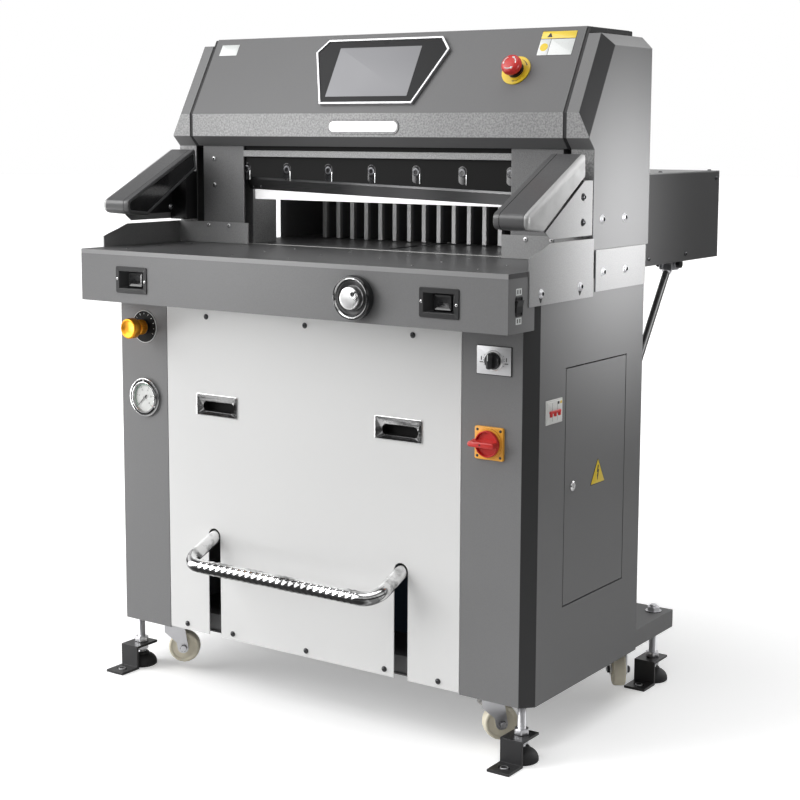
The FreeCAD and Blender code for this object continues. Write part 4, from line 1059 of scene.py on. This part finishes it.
def make_handwheel():
    face = front_face(-90)
    spot = (188, 842)
    wheel = Piece("handwheel_rim", "hand_wheel", "gloss_black", "chrome", "satin_silver", "black_plastic")
    wheel.turned(face, spot, [
        (20, 1.2, 3), (36, 1.2), (39.6, 2.4), (41, 5.5), (41, 14.5), (40.4, 17.4), (39.0, 19.4),
        (37.4, 19.8), (36.4, 19.0), (35.8, 18.2, 1), (35.0, 18.6, 1), (34.2, 18.0, 1),
        (33.6, 16.5), (31.5, 12.0), (28.5, 10.2, 3), (22.6, 10.2, 3), (21.4, 11.4, 2), (20.8, 22.0, 2),
        (20.2, 24.4, 2), (18.9, 25.6, 2), (17, 26.0, 2), (0, 25.7, 2),
    ], 96)
    wheel.turned(face, (spot[0] + 9.5, spot[1] + 8.0), [
        (4.4, 25.6, 3), (4.2, 26.6, 3), (3.2, 27.0, 3), (2.0, 26.2, 0), (0, 26.0, 0),
    ], 32)
    reach = Face((spot[0] + 9.5, -90, spot[1] + 8.0), (1, 0, 0.6), (-0.6, 0, 1))
    wheel.plate(reach, rectangle(8, 3.2, (4.8, 0)), 1.2, 25.4, 26.4, 0.3, 3)
    wheel.done("black_plastic", "handwheel", angle=40)


# ---------------------------------------------------------------- sides
def make_side_bolts():
    bolts = Piece("side_socket_bolts", "frame", "zinc", "label_black")
    wing_bolts = [(15, 859), (158, 861)]
    for x, spots in ((508, wing_bolts + [(246, 881.5), (336, 881.5)]), (505, [(245, 979), (335, 979)])):
        for spot in spots:
            bolts.screw(side_face(x), spot, 6.4, 3.6, 0, 8.2, 1, 0.62)
    # painted shade: a flat black triangle below each wing bolt
    for y, z in wing_bolts:
        bolts.plate(side_face(508), [(y - 6.5, z - 6), (y, z - 19), (y + 6.5, z - 6)], 2.0, -0.2, 0.3, 0.1, 1)
    bolts.mirror()
    bolts.done("zinc", "side_bolts")


GUARD_CORNERS = [(-27, 971), (32, 965), (183, 1058), (180, 1101), (-27, 996.4)]
GUARD_RADII = [13, 8, 2.5, 4, 12.4]
GUARD_BOLTS = [(172, 1022), (172, 976)]


def make_guards():
    guard = Piece("guard_arms", "frame", "guard_shell", "gloss_black", "guard_plate")
    face = side_face(434)
    guard.stack(face, GUARD_CORNERS, GUARD_RADII, [
        (7.0, 1.2, 1), (7.0, 0.2, 1), (6.6, 0), (1.6, 0), (0.5, 0.6), (0, 1.8), (0, 12.0),
        (0.8, 12.3, 1), (0.8, 13.0, 1), (0, 13.3), (0, 61.0), (0.5, 61.4), (0.4, 62.2),
        (0.6, 65.5, 2), (1.8, 68.2, 2), (4.0, 70.0, 2), (7.5, 70.9, 2), (12, 71.2, 2),
    ])
    guard.mirror()
    guard.done("black_paint", "right_guard", "left_guard")
    # painted highlight: a thin plate in the lit copy of the grey paint covers each gusset's outer face
    cover = Piece("guard_gussets", "frame", "plate_paint", "blackened", "label_black")
    outer = side_face(503)
    cover.plate(outer, [(36, 964), (54, 951), (209, 951), (209, 1051), (179, 1051)], 1.5, 0, 0.8, 0.3, 0)
    for spot in GUARD_BOLTS:
        cover.screw(side_face(503.8), spot, 5.0, 3.4, 1, 7.0, 2)
    cover.mirror()
    cover.done("body_paint")
    inner = Piece("guard_post_bolts", "frame", "zinc", "label_black")
    for y, z in GUARD_BOLTS:
        inner.screw(inner_face(499), (-y, z), 4.6, 3.0, 0, 6.4, 1)
    inner.mirror()
    inner.done("zinc")


def make_door():
    face = side_face(505)
    sign = Piece("door_sign", "door", "label_yellow", "label_black")
    triangle = [(217, 481), (277, 481), (247, 531)]
    sign.plate(face, triangle, 2.5, 0, 0.3, 0.1, 1)
    sign.stack(face, triangle, 2.5, [(1.6, 0.28, 0), (1.6, 0.42, 0), (1.8, 0.48, 0)])
    bolt = [
        (243.6, 497), (246.6, 503.5), (243.0, 503.5), (246.8, 516.5),
        (250.6, 516.5), (248.2, 508), (251.4, 508), (246.0, 487),
    ]
    sign.plate(face, bolt, 0.3, 0.46, 0.62, 0.05, 1)
    sign.done("yellow_plate")
    gap = Piece("door_rebate", "frame", "rubber")
    rings = [rounded(rectangle(width, height, (237, 494)), 2) for width, height in ((250, 468), (226, 444))]
    gap.skin([[side_face(501.2).point(*p, 0) for p in ring] for ring in rings], [0], False, False)
    gap.done("rubber")


def make_breaker():
    face = side_face(505)
    case = Piece("breaker_case", "frame", "white_plastic", "label_black", "label_yellow")
    middle = (73, 643)
    case.stack(face, rectangle(60, 44, middle), 1.5, [
        (0, 0), (0, 1.0), (0.4, 1.5), (3, 1.5), (3.4, 2.4), (4, 2.8),
    ])
    for x, slot in ((86, 1), (95, 2)):
        case.plate(face, rectangle(6, 5, (x, 658)), 0.5, 2.7, 3.0, 0.1, slot)
    for k in range(2):
        case.plate(face, rectangle(0.6, 34, (64 + 18 * k, middle[1])), 0.1, 2.6, 2.9, 0.05, 1)
    case.done("white_plastic", "breaker")
    levers = Piece("breaker_levers", "breaker_handle", "red_plastic")
    levers.stack(face, rectangle(40, 5, (73, 643)), 1.5, [(0, 1), (0, 4.6), (0.5, 5.2), (1.2, 5.5)])
    for k in (-1, 0, 1):
        lever = rectangle(7, 11, (73 + 15 * k, 640))
        levers.stack(face, lever, 2.0, [(0, 1), (0, 4.4), (0.6, 5.4), (1.5, 5.8)])
    levers.done("red_plastic", "breaker_toggle")


def make_rocker():
    face = side_face(505)
    frame_piece = Piece("lamp_switch_frame", "frame", "black_plastic", "label_white")
    middle = (-55, 842.5)
    frame_piece.stack(face, rectangle(22, 34, middle), 2, [
        (0, 0), (0, 1.4), (0.6, 2.0), (2.2, 2.0), (2.6, 0.6),
    ])
    for dz in (-25, 25):
        label = rectangle(19, 12, (middle[0], middle[1] + dz))
        frame_piece.stack(face, label, 1, [(0, 0, 1), (0, 0.3, 1), (0.8, 0.35, 1)])
        for dx in (-4, 4):
            mark = rectangle(3, 7, (middle[0] + dx, middle[1] + dz))
            frame_piece.plate(face, mark, 0.3, 0.3, 0.5, 0.05, 0)
    frame_piece.done("black_plastic", "rocker_frame")


# ---------------------------------------------------------------- throat and table
def make_throat():
    bar = front_face(218.5)
    heads = Piece("knife_bolt_heads", "knife_beam", "blackened", "gloss_black", "satin_silver")
    for x in range(-324, 325, 108):
        # painted shade: a thin gloss black plate stands for the shade in each bolt's counterbore
        heads.stack(bar, rectangle(20, 36, (x, 1054)), 9.6, [
            (0, 0, 1), (0, 0.2, 1), (0.6, 0.45, 1), (1.6, 0.3, 1),
        ])
        heads.turned(bar, (x, 1059), [
            (8.0, 0), (8.0, 0.9), (7.2, 1.25), (4.6, 1.25),
            (4.2, 1.25, 1, hexagon), (4.2, 0.4, 1, hexagon), (0, 0.4, 1),
        ], 36)
        # painted highlight: a satin silver strip stands for the lit wall of each counterbore
        heads.plate(bar, rectangle(1.6, 20, (x + 8.9, 1046)), 0.6, 0.2, 0.9, 0.2, 2)
    for x in (-318, -296):
        heads.screw(front_face(232), (x, 1031 + 0.03 * x), 2.6, 1.4, 0, 0, 1)
    heads.done("zinc", "knife_bolts")
    screws = Piece("jamb_screws", "frame", "satin_silver", "label_black")
    for z in (1079.6, 1024.2):
        screws.screw(front_face(213), (409, z), 4.6, 2.6, 0, 0, 1)
    for x in (365, 421):
        screws.screw(front_face(207), (x, 938), 4.6, 2.4, 0, 0, 1)
    screws.mirror()
    screws.done("zinc")


def make_nozzles():
    """Ball valves in the table that let air out under the pile."""
    valves = Piece("air_valves", "frame", "blackened", "chrome")
    face = top_face(900)
    for x in range(-428, 413, 140):
        for y in (-38, 60, 158):
            valves.turned(face, (x, y), [
                (4.2, -0.5), (4.2, 0.15), (3.8, 0.3), (2.9, 0.3), (2.5, -0.3),
                (2.2, 0.2, 1), (1.2, 0.75, 1), (0, 0.85, 1),
            ], 24)
    valves.done("zinc")


# ---------------------------------------------------------------- pedal
PEDAL_PIVOT, PEDAL_TILT = Vector((0, 90, 355)), math.radians(22)


def pedal_point(x, reach):
    """A point on the pedal's plane, reach in front of its pivot."""
    return (x, PEDAL_PIVOT.y - reach * math.cos(PEDAL_TILT), PEDAL_PIVOT.z - reach * math.sin(PEDAL_TILT))


def make_pedal():
    bar = Piece("pedal_bar", "foot_pedal", "bar_chrome", "black_plastic")
    left, right, bend, reach, radius = -234.5, 225.5, 34.0, 190.0, 13.5
    grip = 184  # rings along the straight grip
    turns = [math.radians(7.5 * k) for k in range(1, 12)]
    line = [(left, -16.0), (left, 60.0), (left, reach - bend)]
    line += [(left + bend - bend * math.cos(a), reach - bend + bend * math.sin(a)) for a in turns]
    line += [(left + bend + (right - left - 2 * bend) * k / grip, reach) for k in range(grip + 1)]
    line += [(right - bend + bend * math.sin(a), reach - bend + bend * math.cos(a)) for a in turns]
    line += [(right, reach - bend), (right, 60.0), (right, -16.0)]
    across = Vector((0, math.sin(PEDAL_TILT), -math.cos(PEDAL_TILT)))
    sides = 48
    rings = []
    for i, (x, r) in enumerate(line):
        before, after = line[max(i - 1, 0)], line[min(i + 1, len(line) - 1)]
        along = (Vector(pedal_point(*after)) - Vector(pedal_point(*before))).normalized()
        out = across.cross(along)
        gripped = 14 < i < 14 + grip - 1
        ring = []
        for k in range(sides):
            angle = math.tau * k / sides
            lug = 0.0
            if gripped:
                lug = max(0.0, math.cos(math.tau * x / 15) * math.cos(5 * angle)) ** 0.6
            lift = radius + 0.9 * lug
            turned = across * math.cos(angle) + out * math.sin(angle)
            ring.append(at(*(Vector(pedal_point(x, r)) + turned * lift)))
        rings.append(ring)
    bar.skin(rings, [0] * len(rings))
    bar.tube([(x, PEDAL_PIVOT.y, PEDAL_PIVOT.z) for x in (-275, -250, 0, 250, 275)], 10, 24, 0)
    for x in (left, right):
        bar.tube([(x + d, PEDAL_PIVOT.y, PEDAL_PIVOT.z) for d in (-19, -18, 0, 18, 19)], 16.5, 32, 1)
    bar.done("chrome", "pedal", angle=50)


# ---------------------------------------------------------------- feet and casters
FEET = [(x, y) for x in (-472, 472) for y in (32, 574)]


def make_feet():
    feet = Piece("levelling_foot_pads", "frame", "rubber", "zinc", "blackened")
    thread = [(7.4, 26, 1)]
    for turn in range(42):
        thread += [(8.0, 27 + 2 * turn, 1), (7.35, 28 + 2 * turn, 1)]
    for x, y in FEET:
        up = Face((x, y, 0), (1, 0, 0), (0, 1, 0))
        feet.turned(up, (0, 0), [
            (30.5, 0), (32, 1.2), (32, 4.5), (31.6, 8), (30.2, 12), (27.5, 16), (23.5, 19.5), (18.5, 22.2),
            (15.5, 23.4), (15.2, 26.5), (13.8, 27.6), (0, 27.6),
        ], 56)
        feet.turned(up, (0, 0), thread + [(0, 110.5, 1)], 24)
        for low, high in ((33, 44.6), (50.2, 60.8)):
            feet.turned(up, (0, 0), [
                (12.4, low, 1), (14.8, low + 1.2, 1, hexagon), (14.8, high - 1.2, 1, hexagon),
                (12.4, high, 1), (0, high, 1),
            ], 48)
        if y > 100:
            feet.turned(up, (0, 0), [
                (17, 147, 2), (17, 148.6, 2), (12.4, 148.6, 1), (13.6, 149.6, 1, hexagon),
                (13.6, 156, 1, hexagon), (12, 157, 1), (8, 157, 1), (8, 160.5, 1),
                (7, 161.5, 1), (0, 161.5, 1),
            ], 48)
    feet.done("rubber", "levelling_feet")
    marks = Piece("strap_bolts", "frame", "zinc", "label_black")
    for x, y in FEET:
        # painted shade: the black dish in each bolt's middle stands for the hole there
        marks.turned(Face((x, y - 61, 5), (1, 0, 0), (0, 1, 0)), (0, 0), [
            (7.8, -4.4), (7.8, 0.8), (7.2, 1.2), (6.0, 1.2), (5.6, 0.6, 1), (4.2, 0.2, 1), (0, 0.2, 1),
        ], 32)
    marks.done("zinc")


CASTERS = {
    "front_left": (-392, 48, 124.5), "front_right": (392, 48, 137),
    "rear_left": (-440, 474, -20), "rear_right": (440, 474, 34.5),
}


def make_casters():
    for place, (x, y, turn) in CASTERS.items():
        a = math.radians(turn)
        back = Vector((-math.sin(a), math.cos(a), 0))
        post = Face((x, y, 0), back, (0, 0, 1))
        hub = Face((x - 22 * back.x, y - 22 * back.y, 50), back, (0, 0, 1))
        upward = Face((x, y, 0), back, (-math.cos(a), -math.sin(a), 0))
        wheel = Piece(place + "_tyre", place + "_roller", "cream_nylon", "zinc")
        half = [
            (5.2, 14.6, 1), (8.2, 14.6, 1), (8.2, 12.9, 1), (12.4, 12.9, 0), (12.4, 11.2, 0), (19, 10.0, 0),
            (24.5, 10.2, 0), (27.2, 12.2, 0), (29.4, 12.5, 0), (31.4, 11.4, 0), (32.6, 9.4, 0), (33, 6.4, 0),
        ]
        wheel.turned(hub, (0, 0), [(r, -h, m) for r, h, m in half] + list(reversed(half)), 72)
        wheel.done("cream_nylon", place + "_wheel", angle=28)
        fork = Piece(place + "_swivel_fork", place + "_swivel", "zinc", "blackened")
        leg = [(-34, 39), (-11, 39), (-7, 62), (18, 84), (18, 98), (-24, 98)]
        for low, high in ((14.9, 17.6), (-17.6, -14.9)):
            fork.plate(post, leg, [10.5, 10.5, 6, 4, 1, 3], low, high, 0.5)
        fork.plate(post, [(-23.6, 92), (17.6, 92), (17.6, 98), (-23.6, 98)], 1.5, -17.2, 17.2, 0.3)
        fork.turned(upward, (0, 0), [
            (19, 97.5), (22, 98), (23.4, 99.6), (23.4, 101.6), (22, 103.2), (20.5, 104), (19.5, 106.2),
            (8, 106.2), (6.5, 108.6), (0, 108.6),
        ], 48)
        for side in (-1, 1):
            fork.turned(Face(hub.origin, back * side, (0, 0, 1)), (0, 0), [
                (6.2, 17.5, 1), (7.4, 18.1, 1, hexagon), (7.4, 22.4, 1, hexagon), (6.2, 23, 1),
                (4, 23), (4, 24.6), (0, 24.6),
            ], 36)
        fork.done("zinc", place + "_fork")


# ---------------------------------------------------------------- back
STRUT_FOOT, STRUT_TOP = Vector((0, 446, 186)), Vector((0, 912, 846))


def make_struts():
    """Two telescopic props, each in a fork at both ends, with a locking collar half way up."""
    props = Piece("prop_tubes", "frame", "gauge_rim", "black_plastic", "zinc")
    along = (STRUT_TOP - STRUT_FOOT).normalized()
    length = (STRUT_TOP - STRUT_FOOT).length
    half = length * 0.5
    for x in (-330, 330):
        lean = Face(STRUT_FOOT + Vector((x, 0, 0)), (1, 0, 0), along.cross(Vector((1, 0, 0))))
        props.turned(lean, (0, 0), [
            (10, 8), (11, 9), (11, half - 6), (12.6, half - 5, 1), (12.6, half + 14, 1), (11.6, half + 16, 1),
            (8, half + 16), (8, length - 24), (10.5, length - 22, 2), (10.5, length - 4, 2),
            (9, length - 2, 2), (0, length - 2, 2),
        ], 40)
        for way in (-1, 1):
            cheek = Face((x, 0, 0), (0, way, 0), (0, 0, 1))
            low, high = STRUT_FOOT.y * way, STRUT_TOP.y * way
            foot = rectangle(30, 36, (low - 2 * way, STRUT_FOOT.z))
            top = [(high - 18, 832), (high + 18, 832), (high + 24, 869), (high - 24, 869)]
            for outline, pivot in ((foot, (low, STRUT_FOOT.z)), (top, (high, STRUT_TOP.z))):
                props.plate(cheek, outline, 5, 12.8, 16, 0.5, 2)
                props.turned(cheek, pivot, [
                    (6, 15.8, 2), (6, 19, 2), (9.5, 19.5, 1), (9.5, 28, 1), (8.6, 29.4, 1), (0, 29.4, 1),
                ], 32)
    props.done("zinc", "rear_struts")


def make_rear():
    screws = Piece("rear_cover_screws", "frame", "blackened", "label_black")
    face = side_face(420)
    for y, z in [(620, 878), (800, 878), (950, 1038), (470, 1038)]:
        screws.screw(face, (y, z), 4.6, 2.6, 0, 0, 1)
    screws.mirror()
    lid = top_face(1055)
    for x in (-404, 0, 404):
        for y in (470, 700, 950):
            if x or y != 700:
                screws.screw(lid, (x, y), 4.6, 2.6, 0, 0, 1)
    screws.done("zinc")
    back = rear_face(428.5)
    panel = Piece("rear_panel_fittings", "frame", "body_paint", "label_black", "blackened", "black_plastic")
    rows = [(x, z) for x in (-488, -244, 0, 244, 488) for z in (164, 806)]
    for spot in rows + [(x, z) for x in (-488, 488) for z in (378, 592)]:
        panel.screw(back, spot, 4.6, 2.4, 2, 6.4, 1)
    for x in (-190, 190):
        for row in range(9):
            z = 620 + 14 * row
            panel.stack(back, rectangle(120, 7, (x, z)), 3.2, [(0, 0), (0.5, 1.6), (1.6, 2.4), (2.6, 2.5)])
            # painted shade: a black strip under each louvre stands for the dark of its slit
            panel.plate(back, rectangle(112, 1.6, (x, z - 4.6)), 0.5, 0, 0.3, 0.1, 1)
    gland = rear_face(430)
    panel.turned(gland, (0, 550), [
        (17, 0, 3), (17, 5, 3, hexagon), (14.5, 6, 3, hexagon), (14.5, 7, 3), (13.5, 17, 3), (11.5, 20, 3),
        (8, 21, 3), (7.2, 17, 1), (0, 17, 1),
    ], 48)
    for x in (-52, 52):
        for z in (508, 592):
            panel.screw(gland, (x, z), 3.6, 2.0, 2, 0, 1)
    panel.done("body_paint")


def make_lock():
    face = side_face(505)
    barrel = Piece("lock_face", "lock", "chrome", "label_black")
    barrel.turned(face, (148, 494), [
        (9.4, 0), (9.4, 1.6), (8.6, 2.6), (7.0, 3.2), (6.6, 2.9, 1), (6.3, 3.3), (0, 3.4),
    ], 48)
    # painted shade: the keyway is a raised black bar that stands for the dark of the slot
    barrel.plate(face, rectangle(1.6, 7, (148, 494)), 0.4, 3.2, 3.6, 0.1, 1)
    barrel.done("chrome")


for make in (
    make_camera, make_studio, make_floor, dress_nodes,
    make_screen, make_estop, make_hood_labels, make_lamp, make_gaskets,
    make_panel_screws, make_pulls, make_throttle, make_gauge,
    make_selector, make_main_switch, make_cut_buttons, make_handwheel,
    make_side_bolts, make_guards, make_door, make_breaker, make_rocker,
    make_throat, make_nozzles, make_pedal,
    make_feet, make_casters, make_struts, make_rear, make_lock,
):
    make()
